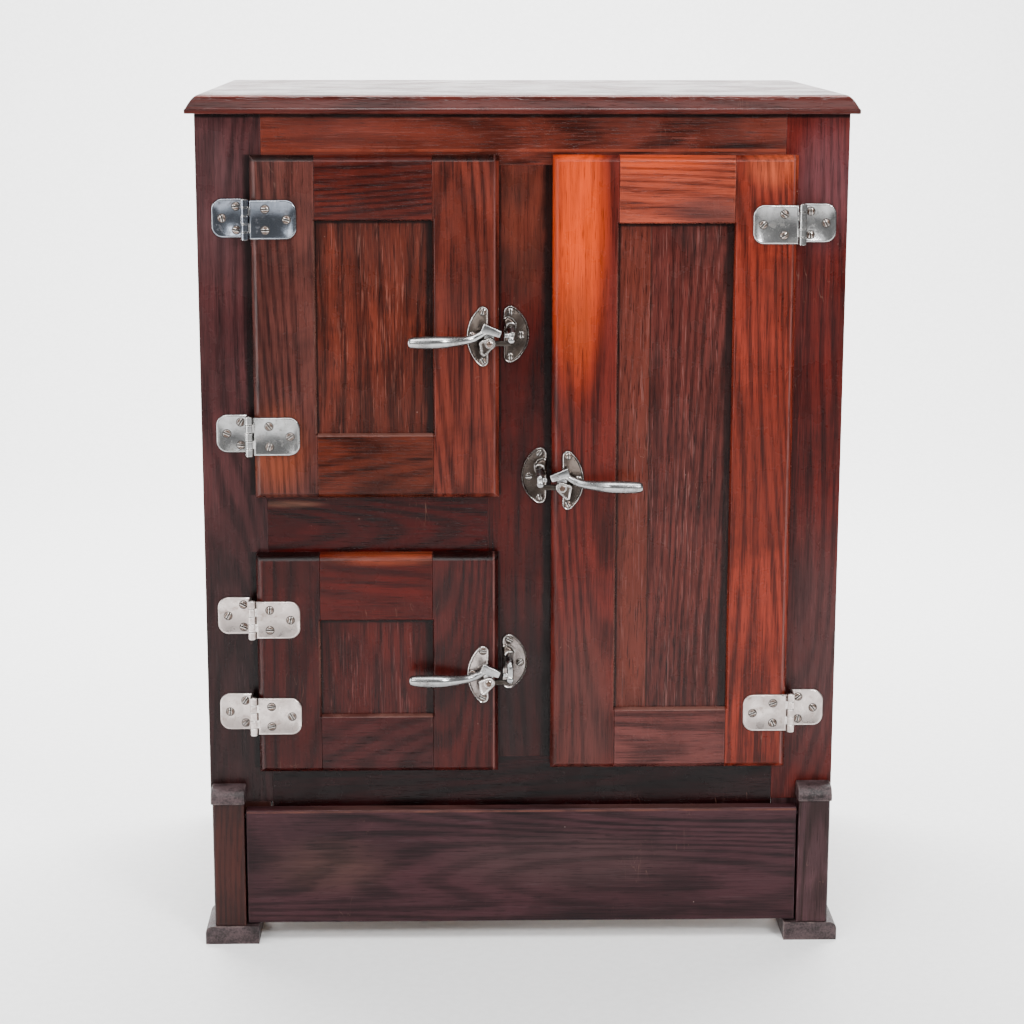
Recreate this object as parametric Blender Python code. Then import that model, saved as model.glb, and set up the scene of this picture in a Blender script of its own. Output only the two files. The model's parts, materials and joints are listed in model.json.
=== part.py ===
"""A three-door wooden icebox: a framed wooden case on four legs, lined with galvanised sheet.

Front faces -Y, +Z is up, and the origin is on the floor under the middle of the whole object.
Every y below is measured from the front of the face frame; box() and rod() add FACE_Y to it.
"""
import math

import bmesh
import bpy
from mathutils import Matrix, Vector

# ---- driving dimensions, metres ----------------------------------------------------------
GAP = 0.0003                    # left between touching pieces
FACE_Y = -0.2144                # world y of the face frame's front
CASE_HALF = 0.3710              # half the case's width
CASE_BOTTOM, CASE_TOP = 0.170, 0.9813
RAIL_BOTTOM = 0.150             # the bottom rail hangs down behind the kick board's top edge
CASE_BACK = 0.482
FRAME_T = 0.022                 # face frame, side boards
BACK_T = 0.012
FLOOR_T = 0.018
TOP_HALF, TOP_T = 0.381, 0.0212
TOP_OVERHANG = 0.012
LIP_H, LIP_STEP, TOP_ROUND = 0.0085, 0.0045, 0.012

# Openings in the face frame: (low, high) in x and in z
ICE_X, ICE_Z = (-0.2970, -0.040), (0.5550, 0.9240)
LOWER_X, LOWER_Z = (-0.2970, -0.040), (0.2240, 0.4630)
FOOD_X, FOOD_Z = (0.045, 0.2990), (0.2270, 0.9240)
SHEET = 0.002                   # galvanised sheet
LINER_BACK = 0.438
PLUG_REAR = 0.045               # how far a door's insulated plug reaches in
PLUG_CLEAR = 0.003
PLUG_TAPER = 0.0062             # the latch side is cut back so that the plug swings out

# Doors: (low, high) of the outside and of the panel's sight opening
DOOR_T = 0.022
DOOR_CHAMFER = 0.006
PANEL_RECESS, PANEL_T, RABBET = 0.008, 0.009, 0.008
DOORS = {
    "ice_door": dict(x=(-0.3087, -0.0275), z=(0.5430, 0.9357), side=1,
                     px=(-0.2365, -0.1030), pz=(0.6182, 0.8625),
                     hinges=(0.8643, 0.6160), latch=0.7241, keeper_rise=0.007),
    "lower_door": dict(x=(-0.3100, -0.0285), z=(0.2120, 0.4752), side=1,
                       px=(-0.2363, -0.1050), pz=(0.2820, 0.3963),
                       hinges=(0.3988, 0.2819), latch=0.3238, keeper_rise=0.018),
    "food_door": dict(x=(0.0335, 0.3115), z=(0.2152, 0.9357), side=-1,
                      px=(0.1087, 0.2400), pz=(0.2886, 0.8589),
                      hinges=(0.8583, 0.2832), latch=0.5566, keeper_rise=0.009),
}

# Offset surface hinges
HINGE_H, LEAF_T = 0.0445, 0.0025
KNUCKLE_R, BORE_R, PIN_R = 0.0042, 0.0021, 0.0018
AXIS_OUT = 0.0055               # the pin stands this far outside the door's edge
AXIS_Y = -0.0240
FRAME_LEAF, DOOR_LEAF, LEAF_ROUND = 0.0425, 0.0553, 0.013

# Lever latches; lengths run from the rivet
RIVET_IN = 0.0115               # rivet's distance inside the door's edge
PLATE_W, PLATE_H, PLATE_T, PLATE_TIP = 0.025, 0.0715, 0.003, 0.0065
PLATE_RISE = 0.009
KEEPER_W, KEEPER_H, KEEPER_EDGE = 0.0304, 0.067, 0.0052
HANDLE_REACH, HANDLE_R, NECK_R = 0.0928, 0.0076, 0.0042
HANDLE_Y, NECK_Y = -0.0455, -0.0315
LEVER_Y = (-0.0318, -0.0260)    # the lever's flat layer, between plate and cover
TONGUE = 0.0250

# Legs, kick board
LEG_X, LEG_HALF_W = 0.3485, 0.0188
LEG_FRONT, LEG_REAR = -0.026, 0.030
CHEEK = 0.030                   # the leg is this much wider behind the kick board
FOOT_X, FOOT_H, FOOT_DEPTH = (0.3146, 0.3785), 0.0225, 0.075
CAP_Z, CAP_OVERHANG = (0.175, 0.1925), 0.0013
REAR_LEG_Y = (0.435, 0.480)
KICK_HALF, KICK_Z, KICK_Y = 0.3272, (0.0246, 0.1650), (-0.021, -0.005)
KICK_PIN_Y, KICK_PIN_Z = -0.013, 0.1563
KICK_PIN_R, KICK_HOLE_R = 0.0030, 0.0034

# Inside
DRAIN_X, DRAIN_Y, DRAIN_R, DRAIN_BORE = -0.264, 0.404, 0.011, 0.0085
SHELF_Y = (0.075, 0.428)
SHORT_SHELF_Y = (0.075, 0.380)  # stops in front of the drain pipe
FOOD_SHELVES = (0.440, 0.660)
LOWER_SHELF = 0.345
LEDGE_W, LEDGE_H = 0.007, 0.008
VENT_Y = (0.300, 0.400)
UPPER_VENT_Z, LOWER_VENT_Z = (0.860, 0.900), (0.250, 0.300)
DROP_X, DROP_Y, DROP_RISE = (-0.205, -0.075), (0.385, 0.428), 0.015
PAN_X, PAN_Y, PAN_Z = (-0.305, -0.015), (0.170, 0.425), (0.001, 0.075)


# ---- tools -------------------------------------------------------------------------------
def clear_scene():
    for obj in list(bpy.data.objects):
        bpy.data.objects.remove(obj, do_unlink=True)


def collection(name):
    group = bpy.data.collections.new(name)
    bpy.context.scene.collection.children.link(group)
    return group


def material(name, colour, roughness, metallic=0.0):
    mat = bpy.data.materials.new(name)
    mat.use_nodes = True
    shader = mat.node_tree.nodes["Principled BSDF"]
    shader.inputs["Base Color"].default_value = (*colour, 1.0)
    shader.inputs["Roughness"].default_value = roughness
    shader.inputs["Metallic"].default_value = metallic
    mat.diffuse_color = (*colour, 1.0)
    return mat


clear_scene()
PARTS = collection("icebox")
CUTTERS = collection("cutters")
MAHOGANY = material("mahogany_stained_wood", (0.115, 0.036, 0.024), 0.30)
DARK_WOOD = material("dark_worn_wood", (0.060, 0.033, 0.029), 0.40)
PLAIN_WOOD = material("plain_inner_wood", (0.330, 0.200, 0.110), 0.70)
CORK = material("granulated_cork", (0.270, 0.160, 0.080), 0.95)
ZINC = material("galvanised_sheet", (0.480, 0.500, 0.510), 0.45, 0.9)
NICKEL = material("worn_nickel_plate", (0.560, 0.540, 0.510), 0.30, 1.0)


def add_object(name, bm, centre, mat, group):
    """Link a mesh that was built about its own origin, and set it down at centre."""
    mesh = bpy.data.meshes.new(name)
    bmesh.ops.recalc_face_normals(bm, faces=bm.faces)
    bm.to_mesh(mesh)
    bm.free()
    mesh.materials.append(mat)
    obj = bpy.data.objects.new(name, mesh)
    obj.location = centre
    group.objects.link(obj)
    return obj


def box(name, x, y, z, mat, group=PARTS):
    """A block between (low, high) pairs; y is measured from the face frame's front."""
    low = Vector((min(x), min(y) + FACE_Y, min(z)))
    high = Vector((max(x), max(y) + FACE_Y, max(z)))
    bm = bmesh.new()
    bmesh.ops.create_cube(bm, size=1.0)
    bmesh.ops.scale(bm, vec=high - low, verts=bm.verts)
    return add_object(name, bm, (low + high) / 2, mat, group)


def rod(name, axis, centre, radius, span, mat, group=PARTS, sides=24):
    """A cylinder along axis between the two ends in span; centre fills the other places."""
    x, y, z = centre
    middle = sum(span) / 2
    place = {"X": (middle, y, z), "Y": (x, middle, z), "Z": (x, y, middle)}[axis]
    turn = {"X": Matrix.Rotation(math.pi / 2, 4, "Y"), "Y": Matrix.Rotation(math.pi / 2, 4, "X"),
            "Z": Matrix.Identity(4)}[axis]
    bm = bmesh.new()
    bmesh.ops.create_cone(bm, cap_ends=True, segments=sides, radius1=radius, radius2=radius,
                          depth=abs(span[1] - span[0]), matrix=turn)
    return add_object(name, bm, Vector(place) + Vector((0, FACE_Y, 0)), mat, group)


def plate(name, outline, y, mat, group=PARTS):
    """A flat piece: an outline of (x, z) points, thick between the two values of y."""
    bm = bmesh.new()
    middle_x = sum(p[0] for p in outline) / len(outline)
    middle_z = sum(p[1] for p in outline) / len(outline)
    depth = max(y) - min(y)
    ring = [bm.verts.new((px - middle_x, -depth / 2, pz - middle_z)) for px, pz in outline]
    face = bm.faces.new(ring)
    raised = bmesh.ops.extrude_face_region(bm, geom=[face])["geom"]
    bmesh.ops.translate(bm, vec=(0, depth, 0),
                        verts=[v for v in raised if isinstance(v, bmesh.types.BMVert)])
    centre = Vector((middle_x, sum(y) / 2 + FACE_Y, middle_z))
    return add_object(name, bm, centre, mat, group)


def boolean(target, helper, operation):
    step = target.modifiers.new(operation.lower(), "BOOLEAN")
    step.operation = operation
    step.solver = "EXACT"
    step.object = helper
    helper.hide_render = True
    helper.display_type = "WIRE"
    return target


def cut(target, *helpers):
    for helper in helpers:
        boolean(target, helper, "DIFFERENCE")
    return target


def join(target, *helpers):
    for helper in helpers:
        boolean(target, helper, "UNION")
    return target


def helper_box(name, x, y, z):
    return box("cutter_" + name, x, y, z, PLAIN_WOOD, CUTTERS)


def helper_rod(name, axis, centre, radius, span, sides=24):
    return rod("cutter_" + name, axis, centre, radius, span, PLAIN_WOOD, CUTTERS, sides)


def bevel_edges(obj, chosen, width, segments=1, along=None):
    """Bevel the edges whose two ends both pass the test, and that run along the given axis."""
    bm = bmesh.new()
    bm.from_mesh(obj.data)
    edges = [e for e in bm.edges if all(chosen(v.co) for v in e.verts)]
    if along:
        index = "XYZ".index(along)
        edges = [e for e in edges
                 if abs((e.verts[1].co - e.verts[0].co).normalized()[index]) > 0.99]
    bmesh.ops.bevel(bm, geom=edges, offset=width, segments=segments, profile=0.5,
                    affect="EDGES", clamp_overlap=True)
    bm.to_mesh(obj.data)
    bm.free()
    return obj


def grow(pair, margin):
    return (pair[0] - margin, pair[1] + margin)


def pivot(name, place, children):
    """An empty on a joint's axis that carries the pieces which turn with it."""
    empty = bpy.data.objects.new(name, None)
    empty.empty_display_size = 0.03
    empty.location = place
    PARTS.objects.link(empty)
    for child in children:
        child.parent = empty
        child.location = child.location - Vector(place)
    return empty


# ---- case --------------------------------------------------------------------------------
def top_board():
    back = CASE_BACK
    board = box("top_board", (-TOP_HALF, TOP_HALF), (-TOP_OVERHANG, back),
                (CASE_TOP + GAP, CASE_TOP + LIP_H), MAHOGANY)
    inset = TOP_HALF - LIP_STEP
    upper = helper_box("top_mould", (-inset, inset), (LIP_STEP - TOP_OVERHANG, back),
                       (CASE_TOP + LIP_H / 2, CASE_TOP + TOP_T))
    size = upper.dimensions / 2
    bevel_edges(upper, lambda v: v.z > 0 and v.y < 0, TOP_ROUND, 5)
    for sign in (-1, 1):
        bevel_edges(upper, lambda v: v.z > 0 and sign * v.x > size.x - 0.001, TOP_ROUND, 5)
    return join(board, upper)


def side_panels():
    inner = CASE_HALF - FRAME_T
    for side, sign in (("left", -1), ("right", 1)):
        board = box(side + "_side_panel", (sign * inner, sign * CASE_HALF),
                    (FRAME_T + GAP, CASE_BACK - BACK_T - GAP), (CASE_BOTTOM, CASE_TOP), MAHOGANY)
        for i, z in enumerate(((0.240, 0.530), (0.600, 0.915))):
            cut(board, helper_box(f"{side}_field_{i}", (sign * (CASE_HALF - 0.006), sign * 0.4),
                                  (0.085, 0.400), z))


def face_frame():
    depth = (0, FRAME_T)
    outer = (CASE_BOTTOM, CASE_TOP)
    box("left_stile", (-CASE_HALF, ICE_X[0]), depth, outer, MAHOGANY)
    box("right_stile", (FOOD_X[1], CASE_HALF), depth, outer, MAHOGANY)
    between = (ICE_X[0] + GAP, FOOD_X[1] - GAP)
    box("top_rail", between, depth, (ICE_Z[1], CASE_TOP), MAHOGANY)
    box("bottom_rail", between, depth, (RAIL_BOTTOM, LOWER_Z[0]), MAHOGANY)
    box("centre_stile", (ICE_X[1], FOOD_X[0]), depth,
        (LOWER_Z[0] + GAP, ICE_Z[1] - GAP), MAHOGANY)
    box("middle_rail", (ICE_X[0] + GAP, ICE_X[1] - GAP), depth,
        (LOWER_Z[1], ICE_Z[0]), MAHOGANY)


def case_back_and_floor():
    inner = CASE_HALF - FRAME_T - GAP
    box("back_panel", (-CASE_HALF, CASE_HALF), (CASE_BACK - BACK_T, CASE_BACK),
        (CASE_BOTTOM, CASE_TOP), PLAIN_WOOD)
    floor = box("case_floor", (-inner, inner), (FRAME_T + GAP, CASE_BACK - BACK_T - GAP),
                (CASE_BOTTOM, CASE_BOTTOM + FLOOR_T), PLAIN_WOOD)
    cut(floor, helper_rod("floor_drain", "Z", (DRAIN_X, DRAIN_Y, 0), DRAIN_R + GAP, (0.1, 0.3)))


# ---- liners, ducts, insulation -----------------------------------------------------------
def chambers():
    return {"ice_chamber_liner": (ICE_X, ICE_Z, ()),
            "lower_chamber_liner": (LOWER_X, LOWER_Z, (LOWER_SHELF,)),
            "food_chamber_liner": (FOOD_X, FOOD_Z, FOOD_SHELVES)}


def duct_spans():
    """Each duct's outside as (x, y, z) pairs and the axis that air takes through it."""
    return {
        "upper_air_duct": ((ICE_X[1], FOOD_X[0]), VENT_Y, UPPER_VENT_Z, "X"),
        "lower_air_duct": ((LOWER_X[1], FOOD_X[0]), VENT_Y, LOWER_VENT_Z, "X"),
        "cold_air_drop": (DROP_X, DROP_Y, (LOWER_Z[1], ICE_Z[0] + DROP_RISE), "Z"),
    }


def duct_clearances(label, reach):
    """Cutters that let the three ducts and the drain pipe through a wall."""
    holes = []
    for name, (x, y, z, axis) in duct_spans().items():
        around = [grow(x, GAP), grow(y, GAP), grow(z, GAP)]
        along = "XYZ".index(axis)
        around[along] = grow((x, y, z)[along], reach)
        holes.append(helper_box(f"{label}_{name}", *around))
    holes.append(helper_rod(f"{label}_drain", "Z", (DRAIN_X, DRAIN_Y, 0), DRAIN_R + GAP,
                            (0.12, ICE_Z[0] + 0.001)))
    return holes


def liners():
    front = FRAME_T + GAP
    for name, (x, z, shelves) in chambers().items():
        shell = box(name, grow(x, SHEET), (front, LINER_BACK + SHEET), grow(z, SHEET), ZINC)
        cut(shell, helper_box(name + "_inside", x, (front - 0.01, LINER_BACK), z))
        for level in shelves:
            for sign, wall in ((1, x[0]), (-1, x[1])):
                ledge = helper_box(f"{name}_ledge_{level}_{sign}",
                                   (wall - sign * SHEET / 2, wall + sign * LEDGE_W),
                                   SHELF_Y, (level - LEDGE_H - GAP, level - GAP))
                join(shell, ledge)
        cut(shell, *duct_clearances(name, 0.004))


def ducts():
    for name, (x, y, z, axis) in duct_spans().items():
        sleeve = box(name, x, y, z, ZINC)
        hollow = [grow(x, -SHEET), grow(y, -SHEET), grow(z, -SHEET)]
        along = "XYZ".index(axis)
        hollow[along] = grow((x, y, z)[along], 0.01)
        cut(sleeve, helper_box(name + "_bore", *hollow))


def insulation():
    inner = CASE_HALF - FRAME_T - GAP
    block = box("insulation_fill", (-inner, inner), (FRAME_T + GAP, CASE_BACK - BACK_T - GAP),
                (CASE_BOTTOM + FLOOR_T + GAP, CASE_TOP), CORK)
    for name, (x, z, _shelves) in chambers().items():
        cut(block, helper_box(name + "_bed", grow(x, SHEET + GAP),
                              (0, LINER_BACK + SHEET + GAP), grow(z, SHEET + GAP)))
    cut(block, *duct_clearances("fill", 0.0))


def drain_and_pan():
    floor = ICE_Z[0] + GAP
    pipe = rod("drain_pipe", "Z", (DRAIN_X, DRAIN_Y, 0), DRAIN_R, (0.105, floor + 0.001), ZINC)
    join(pipe, helper_rod("drain_flange", "Z", (DRAIN_X, DRAIN_Y, 0), 0.018,
                          (floor, floor + 0.0025)))
    cut(pipe, helper_rod("drain_bore", "Z", (DRAIN_X, DRAIN_Y, 0), DRAIN_BORE, (0.09, 0.60)))
    pan = box("drip_pan", PAN_X, PAN_Y, PAN_Z, ZINC)
    cut(pan, helper_box("pan_inside", grow(PAN_X, -SHEET), grow(PAN_Y, -SHEET),
                        (PAN_Z[0] + SHEET, PAN_Z[1] + 0.01)))


def shelf(name, x, level, depth):
    """Sheet shelf resting on the liner's ledges, its front and back edges turned down."""
    clear = 0.0025
    tray = box(name, grow(x, -clear), depth, (level, level + SHEET), ZINC)
    inner = grow(x, -LEDGE_W - 0.002)
    for i, y in enumerate(((depth[0], depth[0] + SHEET), (depth[1] - SHEET, depth[1]))):
        join(tray, helper_box(f"{name}_edge_{i}", inner, y, (level - 0.012, level + SHEET / 2)))


def ice_rack():
    low = ICE_Z[0] + GAP
    xs = (-0.286, -0.052)
    rack = box("ice_rack", xs, (0.085, 0.105), (low, low + 0.015), PLAIN_WOOD)
    join(rack, helper_box("rack_batten", xs, (0.325, 0.345), (low, low + 0.015)))
    count, width = 6, 0.026
    step = (xs[1] - xs[0] - width) / (count - 1)
    for i in range(count):
        left = xs[0] + i * step
        join(rack, helper_box(f"rack_slat_{i}", (left, left + width), (0.070, 0.365),
                              (low + 0.014, low + 0.028)))


# ---- legs and kick board -----------------------------------------------------------------
def front_leg(side, sign):
    inner, outer = sign * (LEG_X - LEG_HALF_W), sign * (LEG_X + LEG_HALF_W)
    leg = box(f"front_{side}_leg", (inner, outer), (LEG_FRONT, LEG_REAR),
              (FOOT_H - 0.001, CASE_BOTTOM - GAP), MAHOGANY)
    bevel_edges(leg, lambda v: v.y < 0 and sign * v.x > 0, 0.004, 2)
    cap = helper_box(f"{side}_cap", (inner - sign * CAP_OVERHANG, outer + sign * CAP_OVERHANG),
                     (LEG_FRONT - 0.004, -GAP), CAP_Z)
    bevel_edges(cap, lambda v: v.y < 0 and v.z > 0, 0.014, 4)
    cheek = helper_box(f"{side}_cheek", (inner - sign * CHEEK, inner + sign * CHEEK),
                       (0.001, LEG_REAR), (FOOT_H - 0.001, CASE_BOTTOM - GAP))
    neck = helper_box(f"{side}_neck", (inner, outer), (LEG_FRONT, -GAP), (0.12, CAP_Z[0] + 0.01))
    foot = helper_box(f"{side}_foot", (sign * FOOT_X[0], sign * FOOT_X[1]),
                      (LEG_FRONT - 0.002, LEG_FRONT - 0.002 + FOOT_DEPTH), (0, FOOT_H))
    bevel_edges(foot, lambda v: sign * v.x > 0 and v.z > 0, 0.007, 3)
    join(leg, cheek, neck, cap, foot)
    cut(leg, helper_rod(f"{side}_pin_hole", "X", (0, KICK_PIN_Y, KICK_PIN_Z), KICK_HOLE_R,
                        (sign * 0.30, sign * 0.3385)))
    return leg


def legs():
    for side, sign in (("left", -1), ("right", 1)):
        front_leg(side, sign)
        rear = box(f"rear_{side}_leg",
                   (sign * (LEG_X - LEG_HALF_W), sign * (LEG_X + LEG_HALF_W)),
                   REAR_LEG_Y, (0, CASE_BOTTOM - GAP), MAHOGANY)
        bevel_edges(rear, lambda v: v.z < 0, 0.003)


def kick_board():
    board = box("kick_board", (-KICK_HALF, KICK_HALF), KICK_Y, KICK_Z, DARK_WOOD)
    for side, sign in (("left", -1), ("right", 1)):
        join(board, helper_rod(f"kick_pin_{side}", "X", (0, KICK_PIN_Y, KICK_PIN_Z), KICK_PIN_R,
                               (sign * (KICK_HALF - 0.01), sign * 0.3370)))
    pivot("kick_board_axis", (0, KICK_PIN_Y + FACE_Y, KICK_PIN_Z), [board])


# ---- doors -------------------------------------------------------------------------------
def door_slab(name, spec):
    """Frame of the door with its through opening and the rabbet that holds the panel."""
    slab = box(name + "_frame", spec["x"], (-DOOR_T, -GAP), spec["z"], MAHOGANY)
    bevel_edges(slab, lambda v: v.y < 0, DOOR_CHAMFER)
    cut(slab, helper_box(name + "_sight", spec["px"], (-0.04, 0.02), spec["pz"]))
    cut(slab, helper_box(name + "_rabbet", grow(spec["px"], RABBET),
                         (PANEL_RECESS - DOOR_T, 0.02), grow(spec["pz"], RABBET)))
    front = PANEL_RECESS - DOOR_T + GAP
    panel = box(name + "_panel", grow(spec["px"], RABBET - GAP), (front, front + PANEL_T),
                grow(spec["pz"], RABBET - GAP), MAHOGANY)
    return [slab, panel]


def door_plug(name, spec, x, z):
    """Insulated plug behind the door, cut back on its latch side so that it swings clear."""
    plug = box(name + "_plug", grow(x, -PLUG_CLEAR), (0.0002, PLUG_REAR), grow(z, -PLUG_CLEAR),
               PLAIN_WOOD)
    for vert in plug.data.vertices:
        if vert.co.y > 0 and vert.co.x * spec["side"] > 0:
            vert.co.x -= spec["side"] * PLUG_TAPER
    return plug


def knuckle_span(z, i):
    """Height of knuckle segment i of five, counted from the bottom."""
    length = (HINGE_H + 0.002) / 5
    low = z - HINGE_H / 2 - 0.001 + i * length
    return (low + GAP / 2, low + length - GAP / 2)


def hinge(label, axis_x, z, side):
    """Offset surface hinge: a leaf on the face frame with the pin, and a leaf on the door."""
    height = (z - HINGE_H / 2, z + HINGE_H / 2)
    out = -side
    frame = box(label + "_frame_leaf", (axis_x + out * KNUCKLE_R, axis_x + out * FRAME_LEAF),
                (-LEAF_T - GAP, -GAP), height, NICKEL)
    bevel_edges(frame, lambda v: out * v.x > 0, LEAF_ROUND, 5, "Y")
    wall_x = (axis_x + out * (KNUCKLE_R - LEAF_T), axis_x + out * (KNUCKLE_R + 0.0002))
    join(frame, helper_box(label + "_wall", wall_x,
                           (AXIS_Y + KNUCKLE_R + 0.0006, -GAP - 0.0001), height))
    for i in (0, 2, 4):
        span = knuckle_span(z, i)
        inside = (max(span[0], height[0]), min(span[1], height[1]))
        join(frame, helper_box(f"{label}_tab_{i}", wall_x, (AXIS_Y, AXIS_Y + 0.008), inside),
             helper_rod(f"{label}_knuckle_{i}", "Z", (axis_x, AXIS_Y, 0), KNUCKLE_R, span, 20))
    join(frame, helper_rod(label + "_pin", "Z", (axis_x, AXIS_Y, 0), PIN_R,
                           (knuckle_span(z, 0)[0] + 0.001, knuckle_span(z, 4)[1] - 0.001), 16))
    back = -DOOR_T - GAP
    leaf = box(label + "_door_leaf",
               (axis_x + side * (KNUCKLE_R + 0.0006), axis_x + side * DOOR_LEAF),
               (back - LEAF_T, back), height, NICKEL)
    bevel_edges(leaf, lambda v: side * v.x > 0, LEAF_ROUND, 5, "Y")
    for i in (1, 3):
        span = knuckle_span(z, i)
        join(leaf, helper_box(f"{label}_arm_{i}",
                              (axis_x + side * 0.0026, axis_x + side * (KNUCKLE_R + 0.001)),
                              (back - LEAF_T, back), span),
             helper_rod(f"{label}_ring_{i}", "Z", (axis_x, AXIS_Y, 0), KNUCKLE_R, span, 20))
    cut(leaf, helper_rod(label + "_bore", "Z", (axis_x, AXIS_Y, 0), BORE_R,
                         (z - 0.04, z + 0.04), 16))
    return leaf


def crescent(edge_x, bulge, width, height, z, steps=9):
    """Outline with round tips and one long bowed side; bulge is the way the bow faces."""
    tip = PLATE_TIP
    reach, rise = width - tip, height / 2 - tip
    bow = (reach ** 2 + rise ** 2 - tip ** 2) / (2 * (reach - tip))
    middle = bow - reach
    slant = math.atan2(rise, middle)
    points = []
    for cx, cz, radius, start, end in ((0, -rise, tip, 0, slant - math.pi),
                                       (middle, 0, bow, slant - math.pi, -slant - math.pi),
                                       (0, rise, tip, math.pi - slant, 0)):
        for i in range(steps):
            angle = start + (end - start) * i / (steps - 1)
            points.append((cx + radius * math.cos(angle), cz + radius * math.sin(angle)))
    tips_x = edge_x + bulge * tip
    outline = []
    for px, pz in points:
        place = (tips_x - bulge * px, z + pz)
        if not outline or math.dist(place, outline[-1]) > 0.0003:
            outline.append(place)
    return outline


def ease(value):
    value = min(max(value, 0.0), 1.0)
    return value * value * (3 - 2 * value)


def handle_curve(name, x0, z0, side):
    """The lever's grip and bent neck, as a swept curve; side is where the door's hinges are."""
    curve = bpy.data.curves.new(name, "CURVE")
    curve.dimensions = "3D"
    curve.bevel_depth = 1.0
    curve.bevel_resolution = 2
    curve.use_fill_caps = True
    steps = 16
    spline = curve.splines.new("POLY")
    spline.points.add(steps - 1)
    for i in range(steps):
        along = 1 - math.cos(math.pi / 2 * i / (steps - 1))
        reach = HANDLE_REACH - 0.0002 - along * (HANDLE_REACH - 0.006)
        lift = 0.0018 + 0.0135 * ease((0.044 - reach) / 0.036)
        depth = HANDLE_Y + (NECK_Y - HANDLE_Y) * ease((0.050 - reach) / 0.036)
        round_end = math.sqrt(max(0.03, 1 - ((reach - HANDLE_REACH + 0.008) / 0.008) ** 2
                                  if reach > HANDLE_REACH - 0.008 else 1))
        radius = NECK_R + (HANDLE_R - NECK_R) * ease((reach - 0.022) / 0.050)
        point = spline.points[i]
        point.co = (x0 - side * reach, depth + FACE_Y, z0 + lift, 1)
        point.radius = radius * round_end
    obj = bpy.data.objects.new(name, curve)
    CUTTERS.objects.link(obj)
    bpy.context.view_layer.update()
    evaluated = obj.evaluated_get(bpy.context.evaluated_depsgraph_get())
    mesh = bpy.data.meshes.new_from_object(evaluated)
    bpy.data.objects.remove(obj, do_unlink=True)
    bm = bmesh.new()
    bm.from_mesh(mesh)
    bmesh.ops.remove_doubles(bm, verts=bm.verts, dist=0.0001)
    return add_object("cutter_" + name, bm, (0, 0, 0), NICKEL, CUTTERS)


def latch_plate(label, x, z, side):
    """Crescent plate with the rivet, the cover over the lever and the post that holds it."""
    edge = x + side * 0.001
    back = -DOOR_T - GAP
    body = plate(label + "_latch_plate",
                 crescent(edge, -side, PLATE_W, PLATE_H, z + PLATE_RISE),
                 (back - PLATE_T, back), NICKEL)
    cover = (LEVER_Y[0] - 0.0037, LEVER_Y[0] - GAP)
    post_x, post_z = x - side * 0.006, z - 0.0105
    root = back - PLATE_T / 2
    join(body, helper_rod(label + "_rivet", "Y", (x, 0, z), 0.0030, (cover[0] - 0.001, root), 20),
         helper_rod(label + "_post", "Y", (post_x, 0, post_z), 0.0034, (sum(cover) / 2, root), 20),
         helper_rod(label + "_cover_eye", "Y", (x, 0, z), 0.0072, cover, 24),
         helper_rod(label + "_cover_foot", "Y", (post_x, 0, post_z), 0.0056,
                    (cover[0] + 0.0003, cover[1] - 0.0002), 20),
         helper_rod(label + "_rivet_head", "Y", (x, 0, z), 0.0040,
                    (cover[0] - 0.0015, cover[0] + 0.001), 20))
    return body


def lever(label, x, z, side):
    """Grip, neck and head block, the eye on the rivet, and the tongue that reaches the keeper."""
    body = rod(label + "_latch_lever", "Y", (x, 0, z), 0.0068, LEVER_Y, NICKEL)
    web = helper_box(label + "_web", (x - 0.0055, x + 0.0055), LEVER_Y, (z + 0.001, z + 0.014))
    head = helper_box(label + "_head", (x - 0.011, x + 0.011), (LEVER_Y[0] - 0.0045, LEVER_Y[1]),
                      (z + 0.010, z + 0.019))
    head.rotation_euler.y = side * math.radians(20)
    tongue = helper_box(label + "_tongue", (x, x + side * TONGUE), LEVER_Y,
                        (z - 0.0038, z + 0.0038))
    join(body, web, head, tongue, handle_curve(label + "_grip", x, z, side))
    cut(body, helper_rod(label + "_eye", "Y", (x, 0, z), 0.0033, (-0.05, -0.02), 20))
    return body


def keeper(label, edge_x, z, rise, side):
    """Crescent plate on the centre stile with a ridge that ends in a hook above the tongue."""
    body = plate(label + "_keeper", crescent(edge_x, side, KEEPER_W, KEEPER_H, z + rise),
                 (-PLATE_T - GAP, -GAP), NICKEL)
    ridge_x = (edge_x + side * 0.0035, edge_x + side * 0.0110)
    hook_x = (edge_x + side * 0.0030, edge_x + side * 0.0118)
    join(body,
         helper_box(label + "_ridge", ridge_x, (-0.0360, -GAP - 0.001), (z + 0.0075, z + 0.030)),
         helper_box(label + "_hook", hook_x, (-0.0370, -0.0260), (z + 0.0048, z + 0.013)))
    return body


def door(name, spec, opening_x, opening_z):
    side = spec["side"]
    hinge_edge, latch_edge = (spec["x"][0], spec["x"][1]) if side > 0 else spec["x"][::-1]
    axis_x = hinge_edge - side * AXIS_OUT
    pieces = door_slab(name, spec)
    pieces.append(door_plug(name, spec, opening_x, opening_z))
    for place, z in zip(("upper", "lower"), spec["hinges"]):
        pieces.append(hinge(f"{name}_{place}_hinge", axis_x, z, side))
    rivet_x = latch_edge - side * RIVET_IN
    pieces.append(latch_plate(name, rivet_x, spec["latch"], side))
    grip = lever(name, rivet_x, spec["latch"], side)
    keeper(name, latch_edge + side * KEEPER_EDGE, spec["latch"], spec["keeper_rise"], side)
    pivot(name + "_axis", (axis_x, AXIS_Y + FACE_Y, sum(spec["z"]) / 2), pieces)
    pivot(name + "_lever_axis", (rivet_x, LEVER_Y[0] + FACE_Y, spec["latch"]), [grip])


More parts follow.
